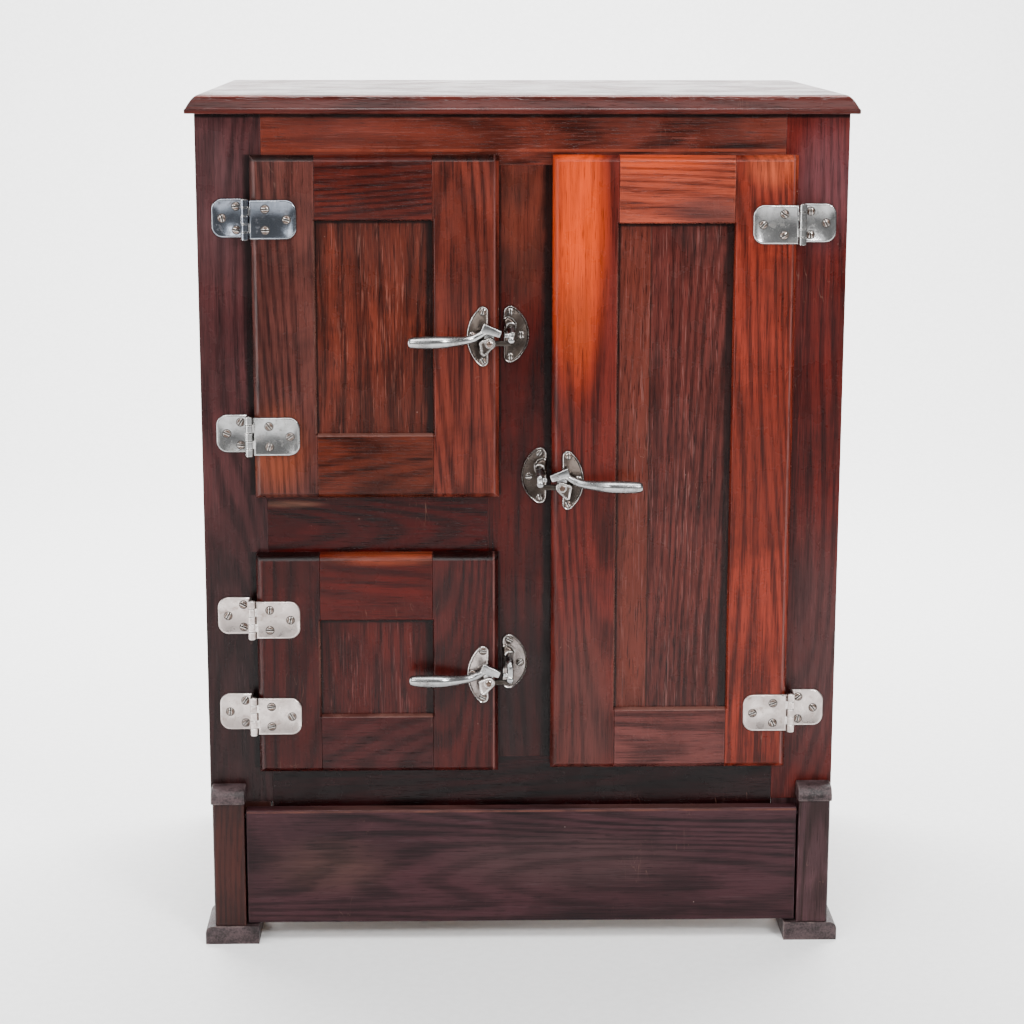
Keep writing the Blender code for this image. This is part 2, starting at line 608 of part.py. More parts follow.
# ---- assembly ----------------------------------------------------------------------------
top_board()
side_panels()
face_frame()
case_back_and_floor()
liners()
ducts()
insulation()
drain_and_pan()
shelf("upper_food_shelf", FOOD_X, FOOD_SHELVES[1], SHELF_Y)
shelf("lower_food_shelf", FOOD_X, FOOD_SHELVES[0], SHELF_Y)
shelf("lower_chamber_shelf", LOWER_X, LOWER_SHELF, SHORT_SHELF_Y)
ice_rack()
legs()
kick_board()
door("ice_door", DOORS["ice_door"], ICE_X, ICE_Z)
door("lower_door", DOORS["lower_door"], LOWER_X, LOWER_Z)
door("food_door", DOORS["food_door"], FOOD_X, FOOD_Z)
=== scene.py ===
"""Looks of the three-door wooden icebox: stained wood, nickel hardware, galvanised linings."""
import json
import math
import random

import bmesh
import bpy
from mathutils import Matrix, Vector


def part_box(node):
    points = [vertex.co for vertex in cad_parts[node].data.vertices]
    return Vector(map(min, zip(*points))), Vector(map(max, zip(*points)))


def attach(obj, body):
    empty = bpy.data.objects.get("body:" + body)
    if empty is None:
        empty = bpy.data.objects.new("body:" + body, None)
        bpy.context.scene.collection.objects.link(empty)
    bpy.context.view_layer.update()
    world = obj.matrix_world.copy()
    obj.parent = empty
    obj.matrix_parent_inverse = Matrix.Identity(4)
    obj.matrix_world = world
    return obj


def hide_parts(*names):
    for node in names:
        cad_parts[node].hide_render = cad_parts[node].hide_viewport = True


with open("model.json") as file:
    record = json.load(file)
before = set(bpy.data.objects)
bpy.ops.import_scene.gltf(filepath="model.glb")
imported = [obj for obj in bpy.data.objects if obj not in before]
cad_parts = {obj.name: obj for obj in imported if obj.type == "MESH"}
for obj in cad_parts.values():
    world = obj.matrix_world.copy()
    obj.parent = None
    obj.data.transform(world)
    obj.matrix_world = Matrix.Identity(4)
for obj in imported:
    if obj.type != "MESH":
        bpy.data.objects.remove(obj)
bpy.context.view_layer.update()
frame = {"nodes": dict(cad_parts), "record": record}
JOINTS = {joint["name"]: joint for joint in frame["record"]["behaviour"]["joints"]}
DOORS = {"ice_door": 1, "lower_door": 1, "food_door": -1}    # +1: hinged on the left
LEVERS = {"ice_door": "ice", "lower_door": "lower", "food_door": "food"}
FACE_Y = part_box("left_stile")[0].y                           # front of the face frame
DOOR_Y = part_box("ice_door_frame")[0].y                       # front of the doors
random.seed(11)

LOOKS = bpy.data.collections.new("looks")
bpy.context.scene.collection.children.link(LOOKS)


# ---- node graphs -------------------------------------------------------------------------
class Graph:
    """A material's node tree; put() adds a node and links or sets its inputs."""

    def __init__(self, name):
        self.material = bpy.data.materials.new(name)
        self.material.use_nodes = True
        self.tree = self.material.node_tree
        self.shader = self.tree.nodes["Principled BSDF"]
        self.place = self.put("ShaderNodeTexCoord").outputs["Object"]

    def put(self, kind, inputs=None, **settings):
        node = self.tree.nodes.new(kind)
        for key, value in settings.items():
            setattr(node, key, value)
        for key, value in (inputs or {}).items():
            self.feed(node.inputs[key], value)
        return node

    def feed(self, socket, value):
        if isinstance(value, bpy.types.NodeSocket):
            self.tree.links.new(value, socket)
        elif socket.type == "RGBA" and len(value) == 3:
            socket.default_value = (*value, 1.0)
        else:
            socket.default_value = value

    def stretch(self, scale=(1, 1, 1), offset=(0, 0, 0), turn=(0, 0, 0)):
        return self.put("ShaderNodeMapping", {"Vector": self.place, "Location": offset,
                                              "Rotation": turn, "Scale": scale}).outputs["Vector"]

    def noise(self, vector, scale, detail=3.0, rough=0.55, distortion=0.0):
        return self.put("ShaderNodeTexNoise", {"Vector": vector, "Scale": scale, "Detail": detail,
                                               "Roughness": rough, "Distortion": distortion}
                        ).outputs["Fac"]

    def cells(self, vector, scale):
        return self.put("ShaderNodeTexVoronoi", {"Vector": vector, "Scale": scale}).outputs

    def ramp(self, value, low, high, start=0.0, end=1.0):
        """value carried smoothly from low..high to start..end."""
        return self.put("ShaderNodeMapRange", {"Value": value, "From Min": low, "From Max": high,
                                               "To Min": start, "To Max": end},
                        interpolation_type="SMOOTHSTEP").outputs["Result"]

    def sums(self, operation, a, b=0.0):
        return self.put("ShaderNodeMath", {0: a, 1: b}, operation=operation).outputs[0]

    def vectors(self, operation, a, b=(0, 0, 0)):
        return self.put("ShaderNodeVectorMath", {0: a, 1: b}, operation=operation).outputs

    def times(self, a, b):
        return self.sums("MULTIPLY", a, b)

    def plus(self, a, b):
        return self.sums("ADD", a, b)

    def off(self, value, centre):
        """How far value is from centre, without its sign."""
        return self.sums("ABSOLUTE", self.sums("SUBTRACT", value, centre))

    def mix(self, factor, a, b):
        node = self.put("ShaderNodeMix", data_type="RGBA")
        self.feed(node.inputs["Factor"], factor)
        self.feed(node.inputs[6], a)
        self.feed(node.inputs[7], b)
        return node.outputs[2]

    def split(self, vector):
        return self.put("ShaderNodeSeparateXYZ", {"Vector": vector}).outputs

    def along(self, axis):
        """Place along a world axis: "X", "Y" or "Z"."""
        return self.split(self.place)["XYZ".index(axis)]

    def edges(self, radius):
        """How far a surface's normal is rounded off by nearby edges: 0 on flats, 1 on edges."""
        soft = self.put("ShaderNodeBevel", {"Radius": radius}, samples=4).outputs["Normal"]
        flat = self.put("ShaderNodeNewGeometry").outputs["Normal"]
        return self.ramp(self.vectors("DOT_PRODUCT", soft, flat)["Value"], 0.999, 0.9)

    def bump(self, height, distance, strength=1.0, normal=None):
        inputs = {"Height": height, "Distance": distance, "Strength": strength}
        if normal:
            inputs["Normal"] = normal
        return self.put("ShaderNodeBump", inputs).outputs["Normal"]

    def patch(self, centre, radii):
        """1 in the middle of a soft ellipsoid about centre, 0 outside."""
        away = self.vectors("SUBTRACT", self.place, centre)[0]
        unit = self.vectors("MULTIPLY", away, tuple(1 / r for r in radii))[0]
        return self.ramp(self.vectors("LENGTH", unit)["Value"], 1.0, 0.25)

    def finish(self, colour, roughness, normal, metallic=0.0, specular=0.5):
        self.feed(self.shader.inputs["Base Color"], colour)
        self.feed(self.shader.inputs["Roughness"], roughness)
        self.feed(self.shader.inputs["Normal"], normal)
        self.shader.inputs["Metallic"].default_value = metallic
        self.shader.inputs["Specular IOR Level"].default_value = specular
        return self.material


def toned(tint, gain, lift=0.0):
    """A lighter or darker colour; gain is one number, or one for each channel."""
    gains = gain if isinstance(gain, tuple) else (gain, gain, gain)
    return tuple(v * k + lift for v, k in zip(tint, gains))


def drawn_out(along, squeeze):
    """Texture scale that draws a pattern out along one axis."""
    return tuple(squeeze if axis == along else 1 for axis in "XYZ")


def strip(g, axis, start, end):
    """0 before start and 1 past end along a world axis, with a ragged border."""
    ragged = g.times(g.sums("SUBTRACT", g.noise(g.place, 60.0, 4.0), 0.5), abs(end - start) * 0.9)
    return g.ramp(g.plus(g.along(axis), ragged), start, end)


def wear_and_highlight_line(g, axis, position, half):
    """A thin broken pale line across a world axis: rubbed finish in part, painted highlight in
    part.
    """
    return g.times(g.ramp(g.off(g.along(axis), position), half * 1.3, half * 0.7),
                   g.ramp(g.noise(g.place, 22.0, 4.0, 0.6), 0.36, 0.56, 0.3, 1.0))


def between(g, value, low, high, fade):
    """1 from low to high and 0 outside, with borders that are two fades wide."""
    return g.times(g.ramp(value, low - fade, low + fade), g.ramp(value, high + fade, high - fade))


# ---- wood --------------------------------------------------------------------------------
RING_LINES = 182.0      # rings that the slow noise across a board is cut into
FIGURE = 0.16           # share of the growth rings in the tone


def stain_and_light_patches(g, colour, tone, blotches, patches):
    """Areas of another colour, stain in most places and painted light on the kick board's top:
    rows of (centre, radii, colour, strength), in metres.
    """
    for centre, radii, tint, strength in patches:
        ragged = g.ramp(blotches, 0.7, 1.15, 0.45, 1.0)
        mask = g.times(g.times(g.patch(centre, radii), strength), ragged)
        colour = g.mix(mask, colour, g.mix(tone, toned(tint, 0.55), tint))
    return colour


def second_board(g, colour, tone, x, tint):
    """A differently stained board left of x, with the dark joint between the two."""
    place = g.along("X")
    colour = g.mix(g.ramp(place, x, x + 0.0006), g.mix(tone, toned(tint, 0.6), tint), colour)
    joint = g.times(g.ramp(place, x - 0.0012, x - 0.0004), g.ramp(place, x + 0.0012, x + 0.0002))
    return g.mix(g.times(joint, 0.8), colour, (0.006, 0.003, 0.002))


def shadows_wear_and_highlights(g, colour, dark, grimes, lines):
    """Painted shadows beside edges, and pale lines that are rubbed arrises in part and painted
    highlights in part; both may end with a low and a high z.
    """
    for axis, start, end, *span in grimes:
        mask = g.times(strip(g, axis, start, end), 0.85)
        mask = g.times(mask, between(g, g.along("Z"), *span, 0.001)) if span else mask
        # painted shadow: the colour darkened towards the dark stain in a strip beside an edge
        colour = g.mix(mask, colour, toned(dark, 0.22, 0.0004))
    # pale lines: rubbed arrises in part, painted highlights in part
    for axis, position, half, tint, *span in lines:
        mask = g.times(wear_and_highlight_line(g, axis, position, half), 0.8)
        mask = g.times(mask, between(g, g.along("Z"), *span, 0.001)) if span else mask
        colour = g.mix(mask, colour, tint)
    return colour


def wood(name, along, dark, light, seed, pores=0.45, pale_pores=0.0, patches=(),
         rough=(0.2, 0.36), wear=0.35, seam=None, cloudy=0.38, shine=0.15, grimes=(), lines=()):
    """Stained, varnished wood: growth rings, streaks, pores, cloudy stain, worn edges.

    along is the grain's axis; patches (stain, and painted light on the kick board's top), painted
    shadows beside edges and pale lines of wear and painted highlight are as the functions above
    take them; seam is (x, colour) where a second, differently stained board begins.
    """
    g = Graph(name)
    shift = (seed * 1.37, seed * 2.11, seed * 0.73)

    def run(squeeze, offset=shift):
        scale = drawn_out(along, squeeze)
        return g.stretch(scale, tuple(o * v for o, v in zip(offset, scale)))

    whole = g.stretch(offset=shift)
    warp = g.noise(run(0.22), 5.5, 3.0, 0.5)
    contours = g.times(g.noise(run(0.13), 6.5, 1.5, 0.35), RING_LINES)
    rings = g.ramp(g.sums("SINE", contours), -1.0, 0.7)
    streaks = g.noise(run(0.03), 520.0, 3.0, 0.65)
    broad = g.noise(run(0.045), 95.0, 4.0, 0.62)
    cloud = g.noise(whole, 7.5, 5.0, 0.62, 0.5)
    tone = g.plus(g.times(rings, FIGURE),
                  g.plus(g.times(streaks, 0.6), g.times(broad, 0.4 - FIGURE * 0.5)))
    tone = g.ramp(tone, 0.29, 0.73)
    colour = g.mix(tone, dark, light)
    colour = g.mix(g.ramp(cloud, 0.58, 0.4, 0.0, cloudy), colour, toned(dark, 0.55))
    colour = g.mix(g.ramp(warp, 0.54, 0.74, 0.0, 0.4), colour, toned(light, (1.3, 1.22, 1.15)))
    colour = stain_and_light_patches(g, colour, tone, g.plus(broad, cloud), patches)
    if seam:
        colour = second_board(g, colour, tone, *seam)
    pore = g.ramp(g.noise(run(0.05), 900.0, 2.0, 0.5), 0.58, 0.68)
    colour = g.mix(g.times(pore, pores), colour, toned(dark, 0.35))
    if pale_pores:
        fleck = g.ramp(g.noise(run(0.04, shift[::-1]), 800.0, 2.0), 0.56, 0.68)
        colour = g.mix(g.times(g.times(fleck, g.ramp(broad, 0.4, 0.62)), pale_pores), colour,
                       toned(light, (1.9, 2.6, 2.6), 0.03))
    # painted shadows beside edges, then pale lines of wear and painted highlight
    colour = shadows_wear_and_highlights(g, colour, dark, grimes, lines)
    edge = g.times(g.edges(0.0022), g.ramp(g.noise(whole, 34.0, 4.0, 0.6), 0.42, 0.64))
    colour = g.mix(g.times(edge, wear), colour, toned(light, (1.5, 1.8, 1.8), 0.02))
    hair = g.noise(g.stretch((1, 0.35, 0.16), shift, (0.2, 0.5, 0.35)), 85.0, 1.0, 0.5, 1.2)
    scratch = g.times(g.ramp(g.off(hair, 0.5), 0.0045, 0.0015),
                      g.ramp(g.noise(whole, 15.0, 2.0), 0.58, 0.7))
    colour = g.mix(g.times(scratch, 0.3), colour, (0.2, 0.1, 0.07))
    dots = g.cells(g.place, 58.0)
    speck = g.times(g.ramp(dots["Distance"], 0.05, 0.02),
                    g.ramp(g.split(dots["Color"])[0], 0.93, 0.95))
    colour = g.mix(g.times(speck, 0.55), colour, (0.4, 0.3, 0.25))
    roughness = g.ramp(g.noise(whole, 12.0, 5.0, 0.62), 0.36, 0.66, *rough)
    roughness = g.plus(roughness, g.times(g.plus(edge, scratch), 0.16))
    depth = g.sums("SUBTRACT", g.times(streaks, 0.5), g.times(pore, 0.5))
    normal = g.bump(g.noise(whole, 55.0, 2.0), 0.0006, 0.3, g.bump(depth, 0.00035, 0.55))
    return g.finish(colour, roughness, normal, 0.0, shine)


def end_grain(name, dark, light, seed):
    """Dry, dark end grain of the leg caps and foot blocks, with rubbed corners."""
    g = Graph(name)
    shift = (seed, seed * 0.5, 0)
    spots = g.noise(g.stretch(offset=shift), 420.0, 3.0, 0.7)
    cloud = g.noise(g.stretch((1, 1, 1.6), shift), 60.0, 4.0, 0.6)
    colour = g.mix(g.ramp(g.plus(spots, cloud), 0.75, 1.25), dark, light)
    edge = g.times(g.edges(0.003), g.ramp(cloud, 0.42, 0.62))
    colour = g.mix(g.times(edge, 0.7), colour, (0.16, 0.12, 0.11))
    return g.finish(colour, g.ramp(cloud, 0.35, 0.65, 0.34, 0.52), g.bump(spots, 0.0006, 0.7),
                    0.0, 0.25)


def bare_wood(name, along, seed, boards=None):
    """Unstained pine, greyed and dusty; boards is (axis, width) for open joints."""
    g = Graph(name)
    vector = g.stretch(drawn_out(along, 0.06), (seed, seed * 2, seed * 3))
    slab = g.stretch(drawn_out(along, 0.12), (seed * 3, seed, seed * 2))
    rings = g.sums("SINE", g.times(g.noise(slab, 6.0, 1.5, 0.35), 95.0))
    streaks = g.noise(vector, 190.0, 4.0, 0.6)
    tone = g.plus(g.times(g.ramp(rings, -0.2, 1.0), 0.3), g.times(streaks, 0.7))
    colour = g.mix(g.ramp(tone, 0.25, 0.75), (0.33, 0.2, 0.11), (0.19, 0.105, 0.055))
    age = g.noise(g.place, 5.0, 5.0, 0.6)
    colour = g.mix(g.ramp(age, 0.42, 0.7, 0.0, 0.6), colour, (0.14, 0.105, 0.08))
    knots = g.cells(vector, 9.0)["Distance"]
    colour = g.mix(g.ramp(knots, 0.1, 0.03, 0.0, 0.8), colour, (0.06, 0.03, 0.016))
    height = streaks
    if boards:
        axis, width = boards
        turn = g.sums("FRACT", g.plus(g.sums("DIVIDE", g.along(axis), width), 50.5))
        gap = g.ramp(g.off(turn, 0.5), 0.012, 0.004)
        colour = g.mix(gap, colour, (0.012, 0.008, 0.006))
        height = g.sums("SUBTRACT", streaks, g.times(gap, 6.0))
    return g.finish(colour, g.ramp(age, 0.3, 0.7, 0.6, 0.8), g.bump(height, 0.0005, 0.6))


# ---- metal, dirt, cork -------------------------------------------------------------------
def nickel(name, tint, dull, grime, seed, rough, rubbed=0.9):
    """Worn nickel plate: near-white rims that are rubbed polish in part and painted highlight in
    part, cloudy fields, brown grime in blotches and pits.
    """
    g = Graph(name)
    shift = (seed * 0.9, seed * 0.4, seed)
    cloud = g.noise(g.stretch(offset=shift), 48.0, 5.0, 0.62, 0.5)
    fine = g.noise(g.stretch(offset=shift), 420.0, 3.0, 0.6)
    rub = g.noise(g.stretch((0.25, 1, 1), shift, (0, 0.5, 0)), 700.0, 2.0, 0.6)
    colour = g.mix(g.ramp(cloud, 0.38, 0.64), tint, dull)
    blots = g.noise(g.stretch(offset=(shift[1], shift[2], shift[0])), 95.0, 5.0, 0.7)
    stain = g.ramp(blots, 0.52, 0.72)
    colour = g.mix(g.times(stain, 0.55), colour, grime)
    pits = g.cells(g.place, 330.0)
    pit = g.times(g.ramp(pits["Distance"], 0.3, 0.12),
                  g.ramp(g.split(pits["Color"])[1], 0.8, 0.84))
    colour = g.mix(g.times(pit, 0.6), colour, toned(grime, 0.4))
    rim = g.edges(0.0017)
    # near-white rims: rubbed polish in part, painted highlight in part
    colour = g.mix(g.times(rim, rubbed), colour, (0.93, 0.91, 0.88))
    roughness = g.plus(g.ramp(cloud, 0.35, 0.7, *rough), g.times(stain, 0.22))
    roughness = g.sums("SUBTRACT", roughness, g.times(rim, 0.06))
    height = g.sums("SUBTRACT", g.plus(g.times(fine, 0.5), g.times(rub, 0.3)), pit)
    return g.finish(colour, roughness, g.bump(height, 0.00012, 0.5), 1.0)


def grime_black(name):
    """Old wax and dirt round the screws."""
    g = Graph(name)
    spots = g.noise(g.place, 600.0, 3.0)
    colour = g.mix(g.ramp(spots, 0.35, 0.65), (0.006, 0.005, 0.004), (0.04, 0.027, 0.02))
    return g.finish(colour, g.ramp(spots, 0.3, 0.7, 0.6, 0.9), g.bump(spots, 0.0002, 0.5))


def galvanised(name, seed):
    """Zinc-coated sheet with its crystal flakes, dulled, with white bloom in places."""
    g = Graph(name)
    facet = g.split(g.cells(g.place, 70.0)["Color"])[0]
    cloud = g.noise(g.stretch(offset=(seed, 0, 0)), 9.0, 5.0, 0.6)
    colour = g.mix(facet, (0.3, 0.32, 0.34), (0.5, 0.52, 0.53))
    colour = g.mix(g.ramp(cloud, 0.5, 0.74, 0.0, 0.7), colour, (0.6, 0.6, 0.57))
    rust = g.ramp(g.noise(g.stretch((1, 1, 0.4), (seed, 1, 2)), 26.0, 6.0, 0.7), 0.66, 0.8)
    colour = g.mix(g.times(rust, 0.6), colour, (0.2, 0.1, 0.05))
    roughness = g.plus(g.ramp(facet, 0.0, 1.0, 0.34, 0.5), g.ramp(cloud, 0.5, 0.74, 0.0, 0.25))
    return g.finish(colour, roughness, g.bump(g.noise(g.place, 18.0, 3.0), 0.0016, 0.5), 0.75)


def cork_fill(name):
    """Pressed cork granules with dark pitch between them."""
    g = Graph(name)
    grains = g.cells(g.place, 210.0)
    distance = grains["Distance"]
    colour = g.mix(g.split(grains["Color"])[0], (0.2, 0.105, 0.05), (0.42, 0.255, 0.135))
    colour = g.mix(g.ramp(distance, 0.42, 0.7), colour, (0.03, 0.018, 0.012))
    return g.finish(colour, g.ramp(distance, 0.0, 0.8, 0.8, 0.95), g.bump(distance, 0.0015, 0.6))


# ---- mesh tools --------------------------------------------------------------------------
def piece(name, bm, mats, body, replaced, sharp=35.0):
    """Link a mesh made in world places, shade it, and hang it on its body.

    mats is one material or a list; replaced is the CAD node that it stands for, or None.
    """
    bmesh.ops.recalc_face_normals(bm, faces=bm.faces)
    mesh = bpy.data.meshes.new(name)
    bm.to_mesh(mesh)
    bm.free()
    mesh.shade_smooth()
    mesh.set_sharp_from_angle(angle=math.radians(sharp))
    for mat in mats if isinstance(mats, list) else [mats]:
        mesh.materials.append(mat)
    obj = bpy.data.objects.new(name, mesh)
    LOOKS.objects.link(obj)
    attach(obj, body)
    if replaced:
        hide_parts(replaced)
    return obj


def soften(obj, width, segments=2, angle=30.0):
    """Round every edge sharper than angle with a modifier."""
    step = obj.modifiers.new("soft_edges", "BEVEL")
    step.width = width
    step.segments = segments
    step.limit_method = "ANGLE"
    step.angle_limit = math.radians(angle)
    step.harden_normals = True


def dress(node, mat, width=0.0008, segments=2):
    """Give a CAD node its material and slightly rounded edges."""
    obj = frame["nodes"][node]
    obj.data.materials.clear()
    obj.data.materials.append(mat)
    if width:
        soften(obj, width, segments)


def block(bm, low, high, bevel=0.0, segments=3):
    """A box with every edge rounded; returns its vertices."""
    low, high = Vector(map(min, low, high)), Vector(map(max, low, high))
    made = bmesh.ops.create_cube(bm, size=1.0)["verts"]
    bmesh.ops.scale(bm, vec=high - low, verts=made)
    bmesh.ops.translate(bm, vec=(low + high) / 2, verts=made)
    if bevel:
        edges = list({e for v in made for e in v.link_edges})
        made = bmesh.ops.bevel(bm, geom=edges, offset=bevel, segments=segments, profile=0.5,
                               affect="EDGES", clamp_overlap=True)["verts"]
    return made


def paint_from(bm, first, slot):
    """Give the faces made since the first-th one another of the piece's materials."""
    bm.faces.ensure_lookup_table()
    for face in bm.faces[first:]:
        face.material_index = slot


def loft(bm, rings, closed_path=False):
    """Skin between rings of points that all have the same count."""
    rows = [[bm.verts.new(p) for p in ring] for ring in rings]
    pairs = list(zip(rows, rows[1:]))
    if closed_path:
        pairs.append((rows[-1], rows[0]))
    for a, b in pairs:
        for i in range(len(a)):
            j = (i + 1) % len(a)
            bm.faces.new((a[i], a[j], b[j], b[i]))
    if not closed_path:
        bm.faces.new(rows[0])
        bm.faces.new(rows[-1][::-1])


def inset(outline, amount):
    """An outline of (x, z) points moved inwards by amount."""
    area = sum(a[0] * b[1] - b[0] * a[1] for a, b in zip(outline, outline[1:] + outline[:1]))
    side = 1 if area > 0 else -1
    moved = []
    for i, here in enumerate(outline):
        before, after = outline[i - 1], outline[(i + 1) % len(outline)]
        first = Vector((here[0] - before[0], here[1] - before[1])).normalized()
        second = Vector((after[0] - here[0], after[1] - here[1])).normalized()
        run = (first + second).normalized()
        spread = max(0.5, run.dot(first))
        moved.append((here[0] - side * run.y * amount / spread,
                      here[1] + side * run.x * amount / spread))
    return moved


def relief(bm, outline, base_y, profile):
    """A plate facing -Y: profile is (inset, height above base_y) from its edge inwards."""
    rings = [[(x, base_y - rise, z) for x, z in inset(outline, amount)]
             for amount, rise in profile]
    loft(bm, rings)


def arc(cx, cz, radius, start, end, steps):
    """Points (x, z) from one angle to another, in degrees."""
    return [(cx + radius * math.cos(math.radians(start + (end - start) * i / steps)),
             cz + radius * math.sin(math.radians(start + (end - start) * i / steps)))
            for i in range(steps + 1)]


def circle(radius, sides):
    """Points round a circle about the origin."""
    return [(radius * math.cos(2 * math.pi * i / sides),
             radius * math.sin(2 * math.pi * i / sides)) for i in range(sides)]


def lathe_y(bm, x, z, profile, sides=28):
    """Turned shape about an axis along Y: profile is (radius, y), both ends closed."""
    loft(bm, [[(x + a, y, z + b) for a, b in circle(radius, sides)] for radius, y in profile])


def lathe_z(bm, x, y, profile, sides=28):
    """Turned shape about an upright axis: profile is (radius, z)."""
    loft(bm, [[(x + a, y + b, z) for a, b in circle(radius, sides)] for radius, z in profile])


def tube(bm, path, sizes, sides=20):
    """Skin along a path; sizes are (across, deep) half-widths at each point of the path."""
    rings = []
    for i, (point, (across, thick)) in enumerate(zip(path, sizes)):
        before, after = path[max(i - 1, 0)], path[min(i + 1, len(path) - 1)]
        run = (after - before).normalized()
        wide = run.cross(Vector((0, 1, 0))).normalized()
        deep = wide.cross(run).normalized()
        rings.append([point + wide * (across * a) + deep * (thick * b)
                      for a, b in circle(1.0, sides)])
    loft(bm, rings)


def ease(value):
    """0 below 0, 1 above 1, and smooth between."""
    value = min(max(value, 0.0), 1.0)
    return value * value * (3 - 2 * value)


# ---- doors -------------------------------------------------------------------------------
RABBET = 0.0077          # how far the frame laps over its panel
BOARD_GAP = 0.00015      # half of the joint between two boards


def door_ring(name):
    """Loops round the door frame: outer edge, chamfer, flat face, moulded inner edge."""
    low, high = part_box(name + "_frame")
    x0, x1, z0, z1 = door_sight(name)
    back, face = high.y, low.y
    outer = [(0.0, back), (0.0, face + 0.0068), (0.0003, face + 0.006)]
    outer += [(0.0058, face + 0.0004), (0.0066, face)]
    inner = [(0.003, face), (0.0024, face + 0.0001), (0.0018, face + 0.0006),
             (0.001, face + 0.0024), (0.0004, face + 0.0052), (0.0, face + 0.007),
             (0.0, face + 0.008)]
    loops = [(low.x + d, high.x - d, low.z + d, high.z - d, y) for d, y in outer]
    loops += [(x0 - d, x1 + d, z0 - d, z1 + d, y) for d, y in inner]
    loops.append((x0, x1, z0, z1, back))
    return loops


def door_sight(name):
    """The opening that shows the panel: the panel's box less the rabbet it sits in."""
    low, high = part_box(name + "_panel")
    return low.x + RABBET, high.x - RABBET, low.z + RABBET, high.z - RABBET


def keep_side(bm, point, normal):
    """Cut a closed mesh by a plane, keep what lies behind it and close the cut."""
    bmesh.ops.bisect_plane(bm, geom=bm.verts[:] + bm.edges[:] + bm.faces[:], dist=1e-6,
                           plane_co=point, plane_no=normal, clear_outer=True)
    bmesh.ops.holes_fill(bm, edges=[e for e in bm.edges if e.is_boundary], sides=0)


def door_boards(name, mats):
    """The frame's two stiles and two rails as separate boards, each with its own stain."""
    x0, x1, z0, z1 = door_sight(name)
    middle = (z0 + z1) / 2
    rail_sides = [((x0 + BOARD_GAP, 0, 0), (-1, 0, 0)), ((x1 - BOARD_GAP, 0, 0), (1, 0, 0))]
    cuts = {
        "left_stile": [((x0 - BOARD_GAP, 0, 0), (1, 0, 0))],
        "right_stile": [((x1 + BOARD_GAP, 0, 0), (-1, 0, 0))],
        "top_rail": rail_sides + [((0, 0, middle), (0, 0, -1))],
        "bottom_rail": rail_sides + [((0, 0, middle), (0, 0, 1))],
    }
    for part, planes in cuts.items():
        bm = bmesh.new()
        loft(bm, [[(a, y, c), (b, y, c), (b, y, d), (a, y, d)]
                  for a, b, c, d, y in door_ring(name)], closed_path=True)
        for point, normal in planes:
            keep_side(bm, Vector(point), Vector(normal))
        soften(piece(f"{name}_{part}", bm, mats[part], name, name + "_frame", 25),
               0.0005, 2, 40)


# ---- screws ------------------------------------------------------------------------------
def screw(name, x, y, z, body, metal, dirt, radius):
    """Slotted oval-head screw facing -Y, set in its countersink with dirt round it."""
    turn = random.uniform(0, math.pi)
    bm = bmesh.new()
    slot_half, slot_deep = radius * 0.2, radius * 0.22
    dome = [(radius, y), (radius * 0.97, y - radius * 0.1), (radius * 0.8, y - radius * 0.2),
            (radius * 0.45, y - radius * 0.28), (radius * 0.04, y - radius * 0.31)]
    for sign in (-1, 1):
        half = bmesh.new()
        lathe_y(half, 0, 0, dome)
        keep_side(half, Vector((sign * slot_half, 0, 0)), Vector((-sign, 0, 0)))
        bmesh.ops.rotate(half, cent=(0, 0, 0), matrix=Matrix.Rotation(turn, 3, "Y"),
                         verts=half.verts)
        bmesh.ops.translate(half, vec=(x, 0, z), verts=half.verts)
        merge(bm, half)
    floor = y - slot_deep * 0.25
    count = len(bm.faces)
    lathe_y(bm, x, z, [(radius * 1.2, y + 0.0002), (radius * 1.2, y - 0.00008),
                       (radius * 0.9, floor), (radius * 0.3, floor)])
    paint_from(bm, count, 1)
    piece(name, bm, [metal, dirt], body, None, 50)


# ---- hinges ------------------------------------------------------------------------------
PIN_R = 0.0042            # outer radius of the knuckles
LEAF_CORNER = 0.0125
LEAF_SCREW_R = 0.0044
LEAF_FACE = 0.0021        # height of a leaf's field over its back
LEAF_SHIFT = {"ice_door": 0.0028, "lower_door": 0.0008, "food_door": -0.0012}    # as in the photo
# Rim of a leaf: (inset, height)
LEAF_PROFILE = [(0.0, 0.0), (0.0, 0.0009), (0.0003, 0.0016), (0.0009, 0.0022), (0.0017, 0.0025),
                (0.0025, 0.0024), (0.0032, 0.0021)]


def leaf_outline(root_x, end_x, low_z, high_z):
    """Square at the knuckle, round at the far corners."""
    out = 1 if end_x > root_x else -1
    corner = end_x - out * LEAF_CORNER
    top = arc(corner, high_z - LEAF_CORNER, LEAF_CORNER, 90, 0, 9)
    bottom = arc(corner, low_z + LEAF_CORNER, LEAF_CORNER, 0, -90, 9)
    if out < 0:
        top = [(2 * corner - x, z) for x, z in top]
        bottom = [(2 * corner - x, z) for x, z in bottom]
    return [(root_x, high_z)] + top + bottom + [(root_x, low_z)]


def barrel(bm, axis, low, high):
    """One knuckle round the pin."""
    edge = 0.0005
    lathe_z(bm, axis.x, axis.y, [(PIN_R - edge, low), (PIN_R, low + edge), (PIN_R, high - edge),
                                 (PIN_R - edge, high)], 24)


